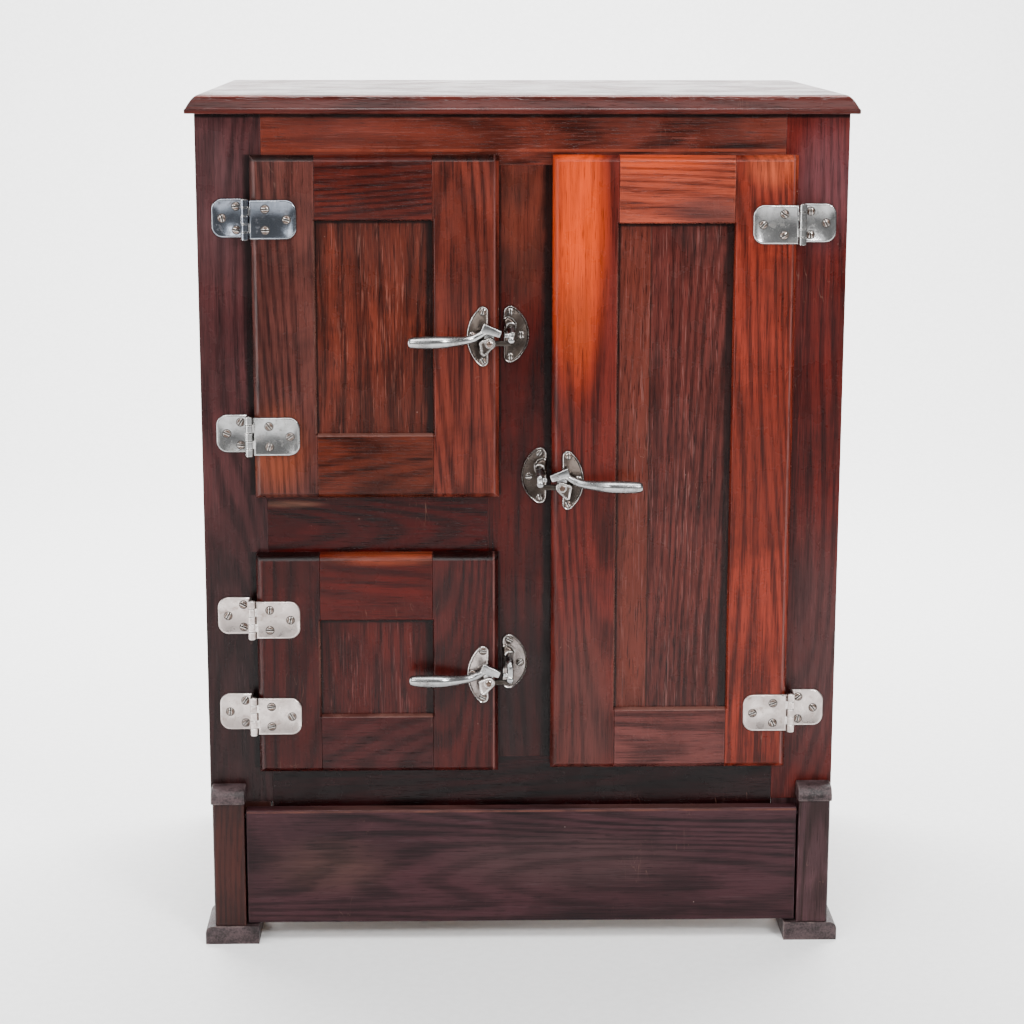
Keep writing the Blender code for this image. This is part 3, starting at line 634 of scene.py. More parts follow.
def hinge(name, which, metal, dirt, screws):
    """One surface hinge: frame leaf with odd knuckles and pin, door leaf with even ones."""
    side = DOORS[name]
    label = f"{name}_{which}_hinge"
    axis = Vector(JOINTS[name + "_hinge"]["pos_m"])
    frame_low, frame_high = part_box(label + "_frame_leaf")
    door_low, door_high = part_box(label + "_door_leaf")
    low_z, high_z = door_low.z, door_high.z
    past, gap = 0.001, 0.00015
    length = (high_z - low_z + 2 * past) / 5
    spans = [(low_z - past + i * length + gap, low_z - past + (i + 1) * length - gap)
             for i in range(5)]
    base = frame_high.y
    out = -side
    shift = LEAF_SHIFT[name]
    far = (frame_low.x if side > 0 else frame_high.x) + shift
    root = axis.x + out * (PIN_R - 0.0001)
    bm = bmesh.new()
    relief(bm, leaf_outline(root, far, low_z, high_z), base, LEAF_PROFILE)
    wall = (axis.x + out * 0.0018, axis.x + out * 0.0043)
    block(bm, (wall[0], axis.y + 0.005, low_z), (wall[1], base - 0.0002, high_z), 0.0004, 2)
    for i in (0, 2, 4):
        low, high = max(spans[i][0], low_z), min(spans[i][1], high_z)
        block(bm, (wall[0], axis.y, low), (wall[1], axis.y + 0.008, high), 0.0002, 1)
        barrel(bm, axis, *spans[i])
    for end, sign in ((spans[0][0], -1), (spans[4][1], 1)):
        lathe_z(bm, axis.x, axis.y, [(0.0021, end - sign * 0.0008), (0.0021, end + sign * 0.0002),
                                     (0.0012, end + sign * 0.0007)], 16)
    piece(label + "_frame_leaf_plated", bm, metal, "case", label + "_frame_leaf")
    far = (door_high.x if side > 0 else door_low.x) + shift
    root = axis.x + side * (PIN_R + 0.0006)
    base = door_high.y if door_high.y < axis.y + 0.003 else axis.y + 0.0017
    bm = bmesh.new()
    relief(bm, leaf_outline(root, far, low_z, high_z), base, LEAF_PROFILE)
    for i in (1, 3):
        block(bm, (axis.x + side * 0.0026, base - 0.0024, spans[i][0]),
              (axis.x + side * (PIN_R + 0.0016), base - 0.0001, spans[i][1]), 0.0002, 1)
        barrel(bm, axis, *spans[i])
    piece(label + "_door_leaf_plated", bm, metal, name, label + "_door_leaf")
    middle = (low_z + high_z) / 2
    for part, body, back, near, far, apart in (
            ("case", "case", frame_high.y, axis.x + out * 0.0115, axis.x + out * 0.0305 + shift,
             0.0135),
            ("door", name, base, axis.x + side * 0.02 + shift, axis.x + side * 0.044 + shift,
             0.012)):
        for i, (x, z) in enumerate(((near, middle + apart), (near, middle - apart),
                                    (far, middle))):
            screw(f"{label}_{part}_screw_{i}", x, back - LEAF_FACE, z, body, screws, dirt,
                  LEAF_SCREW_R)


# ---- latches -----------------------------------------------------------------------------
# Rim of a latch plate or keeper: (inset, height)
RIM_PROFILE = [(0.0, 0.0), (0.0, 0.0016), (0.0003, 0.0024), (0.001, 0.003), (0.0017, 0.0027),
               (0.0023, 0.0019), (0.003, 0.0016)]


def crescent(edge_x, bulge, width, height, z, tip):
    """Outline with round tips and one bowed side, as the CAD plates have it."""
    reach, rise = width - tip, height / 2 - tip
    bow = (reach ** 2 + rise ** 2 - tip ** 2) / (2 * (reach - tip))
    middle = bow - reach
    slant = math.degrees(math.atan2(rise, middle))
    points = arc(0, -rise, tip, 0, slant - 180, 9)
    points += arc(middle, 0, bow, slant - 180, -slant - 180, 18)[1:-1]
    points += arc(0, rise, tip, 180 - slant, 0, 9)
    tips_x = edge_x + bulge * tip
    return [(tips_x - bulge * px, z + pz) for px, pz in points]


def rounded_hull(circles):
    """Convex outline round several (x, z, radius) circles."""
    cloud = sorted({(round(x + a, 7), round(z + b, 7))
                    for x, z, r in circles for a, b in circle(r, 48)})

    def chain(points):
        hull = []
        for p in points:
            while len(hull) > 1 and ((hull[-1][0] - hull[-2][0]) * (p[1] - hull[-2][1])
                                     - (hull[-1][1] - hull[-2][1]) * (p[0] - hull[-2][0])) <= 0:
                hull.pop()
            hull.append(p)
        return hull[:-1]

    return chain(cloud) + chain(cloud[::-1])


PLATE_W, PLATE_H, PLATE_TIP = 0.025, 0.0695, 0.0065      # the last is the round tips' radius
KEEPER_W, KEEPER_H, KEEPER_TIP = 0.03, 0.0665, 0.008
PLATE_FACE = 0.0017       # height of a plate's field over its back
PLATE_SCREW_R = 0.0042


def plate_screws(label, places, base, body, metal, dirt):
    """Screws at (x, z) places on the field of a plate whose back is at base."""
    for i, (x, z) in enumerate(places):
        screw(f"{label}_screw_{i}", x, base - PLATE_FACE, z, body, metal, dirt, PLATE_SCREW_R)


def latch_plate(name, rivet, metal, dirt):
    """Crescent plate on the door, the cover that holds the lever, and the rivet's head.

    metal is [plate and cover, rivet and screws].
    """
    side = DOORS[name]
    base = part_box(name + "_latch_plate")[1].y
    x, z = rivet.x, rivet.z
    across, up = (0.0002, 0.0082) if name == "lower_door" else (-0.0006, 0.0074)
    edge, middle = x + side * across, z + up
    bm = bmesh.new()
    relief(bm, crescent(edge, -side, PLATE_W, PLATE_H, middle, PLATE_TIP), base, RIM_PROFILE)
    cover_back = rivet.y - 0.0003
    hull = rounded_hull([(x + side * out, z + up, radius) for out, up, radius in
                         ((0.001, 0.0005, 0.0068), (-0.0088, 0.001, 0.003),
                          (-0.006, -0.0105, 0.004))])
    relief(bm, hull, cover_back, [(0.0, 0.0), (0.0, 0.0018), (0.0004, 0.0028), (0.0012, 0.0034),
                                  (0.002, 0.0034), (0.0026, 0.0028), (0.0034, 0.0027)])
    for px, pz, r in ((x - side * 0.006, z - 0.0105, 0.0034), (x, z, 0.003)):
        lathe_y(bm, px, pz, [(r + 0.0012, base - 0.0016), (r, base - 0.003),
                             (r, cover_back - 0.001)], 20)
    count = len(bm.faces)
    lathe_y(bm, x, z, [(0.0044, cover_back - 0.0022), (0.0044, cover_back - 0.0034),
                       (0.0038, cover_back - 0.0046), (0.0024, cover_back - 0.0053),
                       (0.0004, cover_back - 0.0056)], 24)
    paint_from(bm, count, 1)
    piece(name + "_latch_plate_plated", bm, metal, name, name + "_latch_plate")
    tips = edge - side * PLATE_TIP
    plate_screws(name + "_plate", ((tips, middle + 0.0285), (tips, middle - 0.0285),
                                   (tips - side * 0.0125, middle + 0.001)),
                 base, name, metal[1], dirt)


# Grip of a lever from its far end to its root: (reach, lift, half-width), metres
GRIP = ((0.0926, 0.003, 0.0012), (0.092, 0.003, 0.004), (0.09, 0.003, 0.0056),
        (0.086, 0.003, 0.0065), (0.078, 0.003, 0.0071), (0.067, 0.0032, 0.0075),
        (0.052, 0.0036, 0.007), (0.039, 0.0038, 0.0059), (0.028, 0.0042, 0.005),
        (0.018, 0.0062, 0.0045), (0.01, 0.01, 0.0042), (0.004, 0.014, 0.004))
GRIP_TILT = {"ice_door": 0.0, "lower_door": 2.5, "food_door": 0.0}    # degrees
HEAD_SLANT = math.radians(20)
TONGUE = 0.0248           # length from the rivet


def smooth_rows(rows, steps):
    """Catmull-Rom samples through rows of numbers."""
    ends = [rows[0]] + list(rows) + [rows[-1]]
    made = []
    for a, b, c, d in zip(ends, ends[1:], ends[2:], ends[3:]):
        for i in range(steps):
            t = i / steps
            made.append(tuple(
                0.5 * (2 * q + (r - p) * t + (2 * p - 5 * q + 4 * r - w) * t ** 2
                       + (3 * q - p - 3 * r + w) * t ** 3) for p, q, r, w in zip(a, b, c, d)))
    return made + [tuple(rows[-1])]


def lever(name, rivet, metal):
    """A spoon-shaped grip, a bent neck and a slanted head in metal[0], the tongue in metal[1],
    whose near-black is painted shade, as the tongue lies in shadow.
    """
    side = DOORS[name]
    x, z = rivet.x, rivet.z
    grip_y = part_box(name + "_latch_lever")[0].y + 0.0076
    neck_y = rivet.y + 0.0002
    tilt = math.radians(GRIP_TILT[name])
    bm = bmesh.new()
    path, sizes = [], []
    for reach, lift, half in smooth_rows(GRIP, 4):
        depth = grip_y + (neck_y - grip_y) * ease((0.058 - reach) / 0.046)
        path.append(Vector((x - side * reach, depth, z + lift + reach * math.sin(tilt))))
        sizes.append((half, half * 0.9))
    tube(bm, path, sizes, 24)
    head, half_long, half_high = Vector((x + side * 0.0026, 0, z + 0.0148)), 0.0112, 0.0047
    verts = block(bm, (head.x - half_long, rivet.y - 0.0046, head.z - half_high),
                  (head.x + half_long, rivet.y + 0.0055, head.z + half_high), 0.0012, 3)
    for vert in verts:
        out = (vert.co.x - head.x) * side / half_long
        vert.co.z += -0.0007 * out * (1 if vert.co.z > head.z else -1)
        vert.co.y += -0.0008 * abs(out)
    bmesh.ops.rotate(bm, cent=head, verts=verts,
                     matrix=Matrix.Rotation(side * (HEAD_SLANT + tilt), 3, "Y"))
    lathe_y(bm, x, z, [(0.0062, rivet.y + 0.0001), (0.0068, rivet.y + 0.0007),
                       (0.0068, rivet.y + 0.0052), (0.0062, rivet.y + 0.0057)], 28)
    block(bm, (x - 0.0055, rivet.y + 0.0002, z + 0.002),
          (x + 0.0055, rivet.y + 0.0056, z + 0.0135), 0.0008, 2)
    count = len(bm.faces)
    tongue = block(bm, (x, rivet.y + 0.0003, z - 0.0034),
                   (x + side * TONGUE, rivet.y + 0.0056, z + 0.0034), 0.0012, 3)
    for vert in tongue:
        far = max(0.0, (vert.co.x - x) * side / TONGUE)
        vert.co.z = z + (vert.co.z - z) * (1 - 0.25 * far)
    paint_from(bm, count, 1)
    piece(name + "_latch_lever_plated", bm, metal, LEVERS[name] + "_lever",
          name + "_latch_lever", 45)


def keeper(name, rivet, metal, dirt):
    """Crescent plate on the centre stile with the cast hook that the tongue goes under.

    metal is [plate, shoulder and screws, hook].
    """
    side = DOORS[name]
    low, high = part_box(name + "_keeper")
    edge = low.x if side > 0 else high.x
    middle = (low.z + high.z) / 2
    base, top, z = high.y, low.y, rivet.z
    bm = bmesh.new()
    relief(bm, crescent(edge, side, KEEPER_W, KEEPER_H, middle, KEEPER_TIP), base, RIM_PROFILE)
    count = len(bm.faces)
    lower = middle + 0.007
    shoulder = [(edge + side * out, middle + up) for out, up in
                ((0.001, 0.009), (0.0006, 0.018), (0.005, 0.0202), (0.0105, 0.0178),
                 (0.0142, 0.013), (0.014, 0.008), (0.0118, 0.003), (0.0055, 0.003))]
    relief(bm, shoulder, base - 0.001, [(0.0, 0.0), (0.0, 0.0072), (0.0005, 0.0084),
                                        (0.0016, 0.0092), (0.003, 0.0094)])
    paint_from(bm, count, 1)
    count = len(bm.faces)
    spine = edge + side * 0.0085
    tip = Vector((spine + side * 0.0003, top + 0.0042, z + 0.0042))
    path = [Vector((spine, base - 0.007, lower + 0.004)),
            Vector((spine + side * 0.0002, (base + top) / 2 - 0.002, lower + 0.0005)),
            Vector((spine + side * 0.0002, top + 0.0052, lower - 0.004)),
            tip + Vector((0, 0.0002, 0.006)), tip]
    wide, deep = (0.005, 0.0046, 0.004, 0.0038, 0.0036), (0.0036, 0.0042, 0.0042, 0.0038, 0.0034)
    rows = smooth_rows([(*p, w, d) for p, w, d in zip(path, wide, deep)], 5)
    tube(bm, [Vector(row[:3]) for row in rows], [row[3:] for row in rows], 20)
    lathe_y(bm, spine, z + 0.0044, [(0.0026, top + 0.0095), (0.0041, top + 0.008),
                                    (0.0041, top + 0.0016), (0.003, top + 0.0004),
                                    (0.0008, top)], 22)
    block(bm, (edge + side * 0.0004, top + 0.003, z + 0.0068),
          (edge + side * 0.006, top + 0.0085, z + 0.0118), 0.0014, 3)
    paint_from(bm, count, 2)
    web = block(bm, (spine - 0.0032, base - 0.001, z + 0.0078),
                (spine + 0.0032, top + 0.006, max(lower, z + 0.012)), 0.0012, 3)
    for face in {f for v in web for f in v.link_faces}:
        face.material_index = 1
    piece(name + "_keeper_plated", bm, metal, "case", name + "_keeper", 45)
    tips = edge + side * KEEPER_TIP
    plate_screws(name + "_keeper", ((tips + side * 0.0002, middle + 0.0262),
                                    (tips, middle - 0.0258),
                                    (tips + side * 0.0128, middle - 0.001)),
                 base, "case", metal[1], dirt)


# ---- case pieces -------------------------------------------------------------------------
def top_board(mat):
    """Top with its moulded edge on the front and both sides: thin lip, then a thumb mould."""
    low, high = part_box("top_board")
    lip, lip_back, mould_deep, steps = 0.0056, 0.0014, 0.015, 12
    profile = [(0.0008, low.z), (0.0, low.z + 0.0008), (0.0, low.z + lip - 0.0012),
               (0.0004, low.z + lip - 0.0004), (0.0012, low.z + lip)]
    rise = high.z - (low.z + lip)
    for i in range(1, steps + 1):
        t = i / steps
        profile.append((lip_back + mould_deep * (t ** 1.15),
                        low.z + lip + rise * (math.sin(t * math.pi / 2) ** 1.05)))
    rings = []
    for amount, z in profile:
        x0, x1, y0 = low.x + amount, high.x - amount, low.y + amount
        rings.append([(x0, y0, z), (x1, y0, z), (x1, high.y, z), (x0, high.y, z)])
    bm = bmesh.new()
    loft(bm, rings)
    piece("top_board_moulded", bm, mat, "case", "top_board", 40)


LEG_X, LEG_HALF_W = 0.3485, 0.0188          # middle and half width of a front leg's post
CAP_LOW, CAP_HIGH, CAP_OVERHANG = 0.175, 0.1925, 0.0013
CHEEK, CHEEK_TOP, CHEEK_T = 0.03, 0.1697, 0.03    # the wider part behind the kick board
FOOT_H, FOOT_W, FOOT_D = 0.0222, 0.0639, 0.075


def front_leg(side, sign, shaft_mat, block_mat):
    """Post, bullnosed cap and foot block of a front leg."""
    node = f"front_{side}_leg"
    low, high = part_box(node)
    inner, outer = sign * (LEG_X - LEG_HALF_W), sign * (LEG_X + LEG_HALF_W)
    face = low.y + 0.004
    bm = bmesh.new()
    block(bm, (inner, face, FOOT_H), (outer, FACE_Y - 0.0003, CAP_LOW + 0.003))
    round_edge(bm, lambda v: v.y < face + 0.001 and sign * v.x > LEG_X, 0.0042, 4)
    rear = bmesh.new()
    block(rear, (inner - sign * CHEEK, FACE_Y + 0.001, FOOT_H),
          (outer, FACE_Y + CHEEK_T, CHEEK_TOP))
    merge(bm, rear)
    soften(piece(node + "_post", bm, shaft_mat, "case", node, 30), 0.001, 2, 40)
    bm = bmesh.new()
    block(bm, (inner - sign * CAP_OVERHANG, low.y, CAP_LOW),
          (outer + sign * CAP_OVERHANG, FACE_Y - 0.0003, CAP_HIGH))
    round_edge(bm, lambda v: v.y < low.y + 0.001 and v.z > CAP_HIGH - 0.001, 0.0145, 7)
    soften(piece(node + "_cap", bm, block_mat, "case", node, 40), 0.0014, 3, 40)
    foot_out = max(abs(low.x), abs(high.x))
    front = low.y + 0.002
    bm = bmesh.new()
    block(bm, (sign * (foot_out - FOOT_W), front, 0.0), (sign * foot_out, front + FOOT_D, FOOT_H))
    round_edge(bm, lambda v: sign * v.x > foot_out - 0.001 and v.z > 0.01, 0.0085, 5)
    round_edge(bm, lambda v: sign * v.x > foot_out - 0.002 and v.y < front + 0.001, 0.006, 4)
    soften(piece(node + "_foot_block", bm, block_mat, "case", node, 40),
           0.0022, 3, 40)


def round_edge(bm, chosen, width, segments):
    """Round the edges whose two ends are both chosen."""
    edges = [e for e in bm.edges if all(chosen(v.co) for v in e.verts)]
    bmesh.ops.bevel(bm, geom=edges, offset=width, segments=segments, profile=0.5,
                    affect="EDGES", clamp_overlap=True)


def merge(bm, other):
    """Add another mesh's faces to bm and free it."""
    mesh = bpy.data.meshes.new("merged")
    other.to_mesh(mesh)
    other.free()
    bm.from_mesh(mesh)
    bpy.data.meshes.remove(mesh)


# ---- dress the object --------------------------------------------------------------------
# Stains are (dark, light). The front boards' own were fitted by a scratch program to the mean
# colours of the same boards in the photo; all other colours were chosen by eye.
DEEP = (0.014, 0.0045, 0.0035)
RED = (0.06, 0.015, 0.009)
GREYED = (0.04, 0.017, 0.015)
UNDER_LIP = ("Z", 0.9755, 0.9785)           # painted shadow under the top board


def spots(y, deep, *rows):
    """wood() patches on an upright face: rows are (x, z, half width, half height, colour,
    strength)."""
    return [((x, y, z), (wide, deep, high), tint, strength)
            for x, z, wide, high, tint, strength in rows]


def on_case(*rows):
    """spots() on the face frame."""
    return spots(FACE_Y, 0.2, *rows)


def on_door(*rows):
    """spots() on the doors' faces, which all lie in one plane."""
    return spots(DOOR_Y, 0.1, *rows)


def beside(name, side, start, end):
    """Painted shadow on the face frame along a door's left or right edge, as wood() takes it."""
    low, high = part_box(name + "_frame")
    edge = low.x if side == "left" else high.x
    return "X", edge + start, edge + end, low.z, high.z


def stained(node, along, dark, light, seed, width=0.0008, segments=2, **looks):
    """Dress a CAD board in a stain of its own."""
    dress(node, wood("stain_" + node, along, dark, light, seed, **looks), width, segments)


def dress_case():
    stained("left_stile", "Z", (0.0089, 0.003, 0.0033), (0.0551, 0.0153, 0.0155), 3,
            pale_pores=0.1,
            # painted shadows under the top board and beside the doors' left edges
            grimes=[UNDER_LIP, beside("ice_door", "left", -0.012, -0.005),
                    beside("lower_door", "left", -0.011, -0.004)],
            # these patches make the stile darker low down and paler near the top
            patches=on_case((-0.34, 0.2, 0.12, 0.46, (0.0075, 0.003, 0.0029), 0.95),
                            (-0.35, 0.9, 0.06, 0.12, (0.068, 0.029, 0.031), 0.6)))
    stained("right_stile", "Z", (0.0094, 0.0008, 0.0008), (0.0726, 0.007, 0.0047), 7,
            # painted shadow under the top board
            pale_pores=0.14, grimes=[UNDER_LIP],
            # these patches make the stile paler near the top and darker low down
            patches=on_case((0.345, 0.9, 0.05, 0.1, (0.105, 0.043, 0.05), 0.6),
                            (0.345, 0.36, 0.07, 0.2, (0.044, 0.021, 0.021), 0.7)))
    stained("centre_stile", "Z", (0.0042, 0.0008, 0.0008), (0.0429, 0.0034, 0.0021), 5, pores=0.5,
            # painted shadows beside the doors' edges
            grimes=[beside("food_door", "left", -0.014, -0.006),
                    beside("ice_door", "right", 0.004, 0.001),
                    beside("lower_door", "right", 0.004, 0.001)],
            # these patches make the stile paler near the top and darker low down
            patches=on_case((0.003, 0.87, 0.06, 0.14, (0.1, 0.022, 0.0125), 0.7),
                            (0.003, 0.3, 0.08, 0.17, (0.014, 0.007, 0.007), 0.8)))
    stained("top_rail", "X", (0.0056, 0.0012, 0.001), (0.0882, 0.0159, 0.0096), 9, pores=0.5,
            # painted shadow under the top board
            pale_pores=0.2, grimes=[UNDER_LIP],
            lines=[("Z", 0.9405, 0.0016, (0.17, 0.03, 0.015))])
    stained("middle_rail", "X", (0.0036, 0.0008, 0.0008), (0.0339, 0.0012, 0.0008), 12,
            patches=on_case((-0.27, 0.532, 0.05, 0.006, (0.13, 0.056, 0.035), 0.6)))
    stained("bottom_rail", "X", (0.0013, 0.0008, 0.0008), (0.012, 0.0013, 0.0016), 15)
    top_board(wood("stain_top_board", "X", (0.0075, 0.0016, 0.0014), (0.056, 0.011, 0.0085), 21,
                   pale_pores=0.15, rough=(0.16, 0.3), shine=0.1, wear=0.3, cloudy=0.12,
                   # painted highlight: a pale line along the top arris
                   lines=[("Z", 1.0012, 0.0012, (0.13, 0.027, 0.017))]))
    for side, seed in (("left", 31), ("right", 37)):
        stained(side + "_side_panel", "Z", DEEP, RED, seed, pale_pores=0.1)
    dress("back_panel", bare_wood("pine_back", "Z", 3, ("X", 0.0928)), 0.0006)
    dress("case_floor", bare_wood("pine_floor", "X", 5, ("Y", 0.112)), 0.0006)
    dress("insulation_fill", cork_fill("cork_granules"), 0)


def dress_legs():
    for side, sign, seed, light in (("left", -1, 3.0, (0.036, 0.0085, 0.006)),
                                    ("right", 1, 8.0, (0.052, 0.0215, 0.025))):
        post = wood(f"stain_{side}_leg", "Z", (0.012, 0.0045, 0.0038), light, seed + 40, wear=1.0,
                    rough=(0.3, 0.46))
        front_leg(side, sign, post, end_grain(f"end_grain_{side}", (0.01, 0.0062, 0.0063),
                                              (0.06, 0.038, 0.04), seed))
        stained(f"rear_{side}_leg", "Z", DEEP, GREYED, seed + 50, 0.0015)
    stained("kick_board", "X", (0.0045, 0.0016, 0.002), (0.0344, 0.0111, 0.0139), 61, 0.0016, 3,
            wear=0.8, rough=(0.34, 0.52), pale_pores=0.1,
            # a pale line along the top arris: worn edge in part, painted highlight in part
            lines=[("Z", 0.1625, 0.0012, (0.085, 0.029, 0.021))],
            patches=spots(-0.235, 0.1,
                          # painted light: the next two thin patches lighten the board's top face,
                          # which lies in shade under the bottom rail
                          (-0.15, 0.166, 0.2, 0.005, (0.06, 0.024, 0.02), 0.8),
                          (0.15, 0.166, 0.2, 0.005, (0.05, 0.021, 0.018), 0.8),
                          (-0.23, 0.095, 0.1, 0.045, (0.07, 0.033, 0.025), 0.5),
                          (0.05, 0.1, 0.2, 0.05, (0.044, 0.023, 0.0225), 0.6)))


# Each door's boards: (seed, dark, light)
DOOR_STAINS = {
    "ice_door": {"left_stile": (71, (0.0104, 0.0033, 0.003), (0.0722, 0.0203, 0.0157)),
                 "right_stile": (73, (0.0122, 0.0022, 0.0016), (0.1035, 0.0179, 0.0106)),
                 "top_rail": (75, (0.0067, 0.001, 0.001), (0.0617, 0.0076, 0.0043)),
                 "bottom_rail": (77, (0.0086, 0.0016, 0.0009), (0.0698, 0.012, 0.0057)),
                 "panel": (79, (0.0093, 0.0019, 0.0012), (0.0948, 0.0166, 0.0088))},
    "lower_door": {"left_stile": (81, (0.0073, 0.0008, 0.0008), (0.0377, 0.0042, 0.0031)),
                   "right_stile": (83, (0.008, 0.0012, 0.001), (0.0432, 0.0056, 0.0044)),
                   "top_rail": (85, (0.0091, 0.0008, 0.0008), (0.0532, 0.0029, 0.0011)),
                   "bottom_rail": (87, (0.0072, 0.0013, 0.0012), (0.036, 0.0065, 0.0063)),
                   "panel": (89, (0.0072, 0.0009, 0.0008), (0.0533, 0.0057, 0.0039))},
    "food_door": {"left_stile": (91, (0.0127, 0.0017, 0.0012), (0.0887, 0.0107, 0.007)),
                  "right_stile": (93, (0.0225, 0.003, 0.0017), (0.1668, 0.0202, 0.01)),
                  "top_rail": (95, (0.0298, 0.0051, 0.0032), (0.2459, 0.0421, 0.0212)),
                  "bottom_rail": (97, (0.0143, 0.004, 0.0037), (0.0855, 0.0233, 0.02)),
                  "panel": (99, (0.0112, 0.0025, 0.002), (0.072, 0.0148, 0.0114))},
}
# What single boards have beyond their stain: worn orange areas, darker ones, a joint
DOOR_LOOKS = {
    "ice_door_left_stile": {"patches": on_door(
        (-0.285, 0.6, 0.05, 0.07, (0.17, 0.033, 0.0105), 0.7))},
    "lower_door_top_rail": {"patches": on_door(
        (-0.16, 0.472, 0.1, 0.012, (0.23, 0.042, 0.015), 0.7))},
    "food_door_left_stile": {"patches": on_door(
        (0.061, 0.86, 0.043, 0.24, (0.5, 0.044, 0.0022), 1.0),
        (0.06, 0.745, 0.028, 0.08, (0.2, 0.03, 0.008), 0.6),
        (0.07, 0.28, 0.06, 0.2, (0.052, 0.018, 0.015), 0.7))},
    "food_door_right_stile": {"pores": 0.5, "patches": on_door(
        (0.285, 0.925, 0.045, 0.035, (0.36, 0.06, 0.022), 0.8))},
    "food_door_top_rail": {"patches": on_door(
        (0.21, 0.875, 0.07, 0.022, (0.075, 0.023, 0.019), 0.9),
        (0.15, 0.93, 0.09, 0.02, (0.42, 0.048, 0.012), 0.7))},
    "ice_door_panel": {"pores": 0.6, "pale_pores": 0.4},
    "lower_door_panel": {"pores": 0.6, "pale_pores": 0.45},
    "food_door_panel": {"pores": 0.7, "pale_pores": 0.42,
                        "seam": (0.146, (0.082, 0.0165, 0.0105))},
}


def door_shadows_and_highlights(name, board):
    """The painted shadows and the pale lines of wear and painted highlight of a door's board, as
    wood() takes them.
    """
    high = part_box(name + "_frame")[1]
    x0, x1, z0, z1 = door_sight(name)
    bead_wear_and_highlight = (0.11, 0.048, 0.038)
    # pale lines: the bead on the left and bottom is rubbed in part and painted highlight in part;
    # the line near the right stile's outer edge is a painted highlight on its chamfer
    lines = {"left_stile": [("X", x0 - 0.001, 0.001, bead_wear_and_highlight, z0, z1)],
             "right_stile": [("X", high.x - 0.0052, 0.001, (0.12, 0.044, 0.038))],
             "bottom_rail": [("Z", z0 - 0.0011, 0.0014, bead_wear_and_highlight)]}.get(board, [])
    grimes = []
    if board == "panel":
        # painted shadow inside the panel's frame, along its right, left and top edges
        grimes = [("X", x1 - 0.011, x1 - 0.006), ("X", x0 + 0.0035, x0 + 0.001),
                  ("Z", z1 - 0.0045, z1 - 0.002)]
    elif board.endswith("stile") and name != "food_door":
        # painted shade along the top edge of the ice and lower doors' stiles
        grimes = [("Z", high.z - 0.0075, high.z - 0.0045)]
    return {"grimes": grimes, "lines": lines}


def dress_doors():
    for name, stains in DOOR_STAINS.items():
        mats = {board: wood(f"stain_{name}_{board}", "X" if board.endswith("rail") else "Z",
                            dark, light, seed, **door_shadows_and_highlights(name, board),
                            **DOOR_LOOKS.get(f"{name}_{board}", {}))
                for board, (seed, dark, light) in stains.items()}
        door_boards(name, mats)
        dress(name + "_panel", mats["panel"], 0)
    for name, seed in (("ice_door", 2), ("lower_door", 4), ("food_door", 6)):
        dress(name + "_plug", bare_wood(name + "_plug_pine", "Z", seed), 0.0015)


METALS = {    # name: (tint, dull, grime, seed, roughness, and how bright its rims are made: rubbed polish in part, painted highlight in part)
    "cool": ((0.2, 0.22, 0.26), (0.13, 0.145, 0.17), (0.07, 0.05, 0.04), 2, (0.1, 0.24)),
    "mild": ((0.36, 0.36, 0.36), (0.25, 0.25, 0.245), (0.11, 0.09, 0.07), 4, (0.16, 0.3)),
    "warm": ((0.58, 0.51, 0.48), (0.44, 0.38, 0.355), (0.2, 0.13, 0.1), 6, (0.24, 0.44)),
    "tarnished": ((0.13, 0.105, 0.09), (0.055, 0.042, 0.035), (0.035, 0.024, 0.018), 9,
                  (0.2, 0.38)),
    "pale": ((0.4, 0.35, 0.33), (0.25, 0.21, 0.195), (0.09, 0.065, 0.05), 11, (0.22, 0.4)),
    "rubbed": ((0.36, 0.36, 0.36), (0.22, 0.22, 0.22), (0.12, 0.1, 0.09), 13, (0.18, 0.3)),
    "bronze": ((0.15, 0.105, 0.085), (0.08, 0.052, 0.04), (0.03, 0.018, 0.012), 17,
               (0.22, 0.4)),
    # painted shade: this near-black metal, with dim rims, is given to the latch tongues, which
    # lie in shadow
    "black": ((0.055, 0.046, 0.04), (0.03, 0.024, 0.02), (0.012, 0.009, 0.007), 19,
              (0.3, 0.5), 0.08),
}


def dress_hardware():
    metal = {name: nickel("nickel_" + name, *look) for name, look in METALS.items()}
    bronze, tarnished, rubbed = metal["bronze"], metal["tarnished"], metal["rubbed"]
    dirt = grime_black("old_wax")
    # the lower hinges get brighter, warmer nickel than the upper ones: painted reflection of the
    # pale floor
    for name, upper, lower, plate in (("ice_door", "cool", "mild", "tarnished"),
                                      ("lower_door", "warm", "warm", "pale"),
                                      ("food_door", "mild", "warm", "tarnished")):
        hinge(name, "upper", metal[upper], dirt, bronze)
        hinge(name, "lower", metal[lower], dirt, bronze)
        rivet = Vector(JOINTS[LEVERS[name] + "_lever_pivot"]["pos_m"])
        latch_plate(name, rivet, [metal[plate], bronze], dirt)
        lever(name, rivet, [rubbed, metal["black"]])
        keeper(name, rivet, [metal[plate], tarnished, rubbed], dirt)


def dress_inside():
    for i, node in enumerate(("ice_chamber_liner", "lower_chamber_liner", "food_chamber_liner",
                              "upper_air_duct", "lower_air_duct", "cold_air_drop", "drain_pipe",
                              "drip_pan", "upper_food_shelf", "lower_food_shelf",
                              "lower_chamber_shelf")):
        dress(node, galvanised(f"zinc_{node}", i * 1.7), 0.0003, 1)
    dress("ice_rack", bare_wood("rack_slats", "Y", 8), 0.0012)


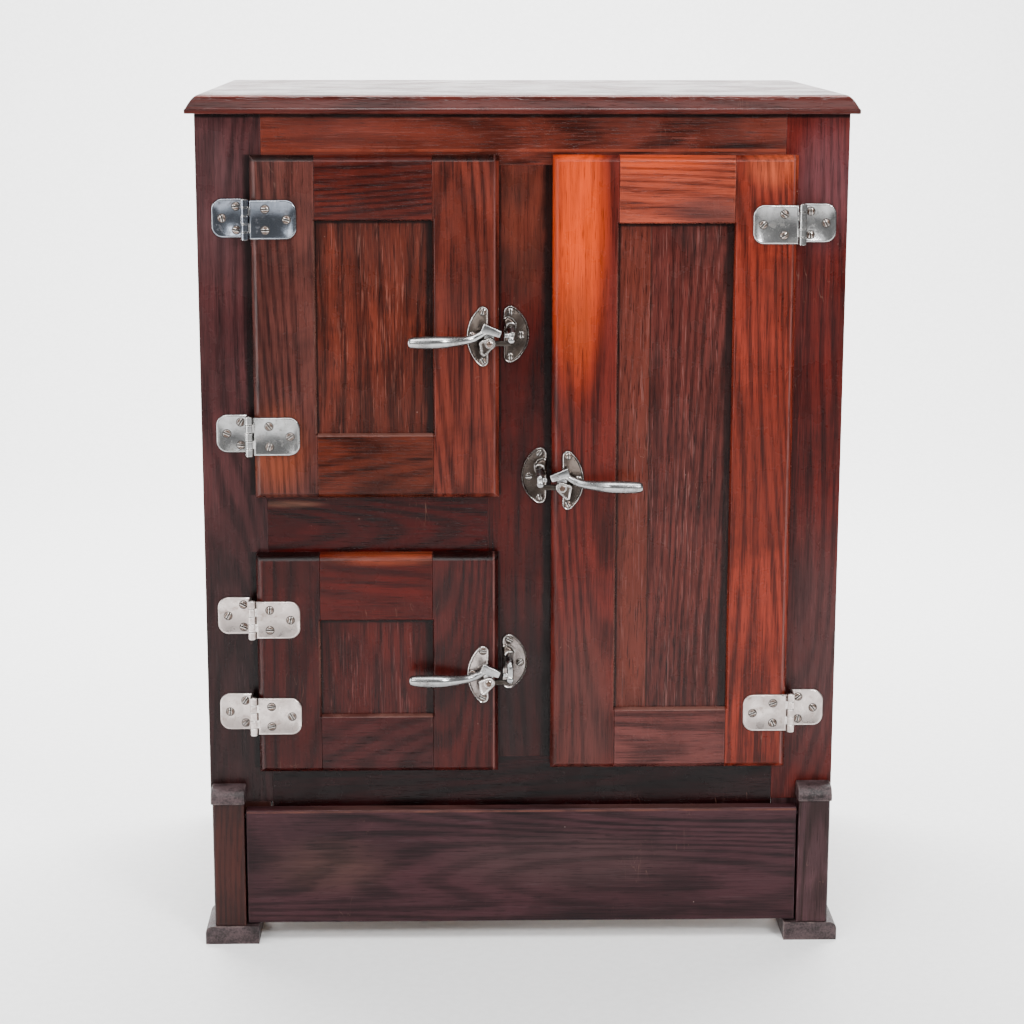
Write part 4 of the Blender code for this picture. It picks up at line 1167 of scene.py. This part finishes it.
# ---- studio ------------------------------------------------------------------------------
def backdrop():
    """A pale paper floor that curves up into the wall behind."""
    g = Graph("floor_paper")
    grain = g.noise(g.place, 90.0, 3.0)
    paper = g.finish(g.mix(g.ramp(grain, 0.3, 0.7), (0.86, 0.86, 0.86), (0.9, 0.9, 0.9)),
                     g.ramp(grain, 0.3, 0.7, 0.7, 0.8), g.bump(grain, 0.0002, 0.2))
    half, front, back, top, radius = 8, -7.0, 4.0, 6.0, 1.6
    line = [(front, 0.0), (back - radius, 0.0)]
    line += [(back - radius + radius * math.sin(math.radians(a)),
              radius - radius * math.cos(math.radians(a))) for a in range(10, 91, 10)]
    line.append((back, top))
    bm = bmesh.new()
    rows = [[bm.verts.new((x, y, z)) for y, z in line] for x in (-half, half)]
    for i in range(len(line) - 1):
        bm.faces.new((rows[0][i], rows[1][i], rows[1][i + 1], rows[0][i + 1]))
    mesh = bpy.data.meshes.new("floor")
    bm.to_mesh(mesh)
    bm.free()
    mesh.shade_smooth()
    mesh.materials.append(paper)
    floor = bpy.data.objects.new("floor", mesh)
    bpy.context.scene.collection.objects.link(floor)


def lights():
    """Soft lamps: name, place, what it points at, size in metres, watts."""
    world = bpy.data.worlds.new("studio")
    world.use_nodes = True
    world.node_tree.nodes["Background"].inputs["Color"].default_value = (1.0, 1.0, 1.0, 1.0)
    world.node_tree.nodes["Background"].inputs["Strength"].default_value = 0.3
    bpy.context.scene.world = world
    for name, place, aim, size, power in (
            ("left_box", (-2.7, -0.7, 1.0), (0, -0.2, 0.55), (1.6, 2.0), 62),
            ("key", (1.5, -2.9, 2.0), (0, -0.2, 0.5), (0.7, 0.7), 85),
            ("fill", (-1.6, -3.2, 1.9), (0, -0.2, 0.5), (1.6, 1.4), 48),
            ("top", (0.0, 1.3, 3.0), (0, 0.4, 0), (2.4, 1.6), 150),
            ("floor", (0.0, -1.7, 3.0), (0, -1.5, 0), (3.2, 1.6), 125),
            ("backdrop", (0.0, 1.4, 3.2), (0, 3.2, 0.6), (4.0, 1.0), 420)):
        lamp = bpy.data.lights.new(name, "AREA")
        lamp.shape = "RECTANGLE"
        lamp.size, lamp.size_y = size
        lamp.energy = power
        obj = bpy.data.objects.new(name, lamp)
        obj.location = place
        obj.rotation_euler = (Vector(aim) - Vector(place)).to_track_quat("-Z", "Y").to_euler()
        bpy.context.scene.collection.objects.link(obj)


def camera():
    """Standing in front, a little to the left, looking down about 12 degrees."""
    data = bpy.data.cameras.new("camera")
    data.sensor_width, data.lens = 36.0, 86.1328125
    obj = bpy.data.objects.new("camera", data)
    obj.location = (-0.0789, FACE_Y - 2.7984, 1.1137)
    yaw, pitch, roll = 0.0239, 0.2084, 0.0014
    forward = Vector((math.sin(yaw) * math.cos(pitch), math.cos(yaw) * math.cos(pitch),
                      -math.sin(pitch)))
    turn = forward.to_track_quat("-Z", "Y").to_matrix() @ Matrix.Rotation(roll, 3, "Z")
    obj.rotation_euler = turn.to_euler()
    bpy.context.scene.collection.objects.link(obj)
    bpy.context.scene.camera = obj


camera()
backdrop()
lights()
dress_case()
dress_legs()
dress_doors()
dress_hardware()
dress_inside()
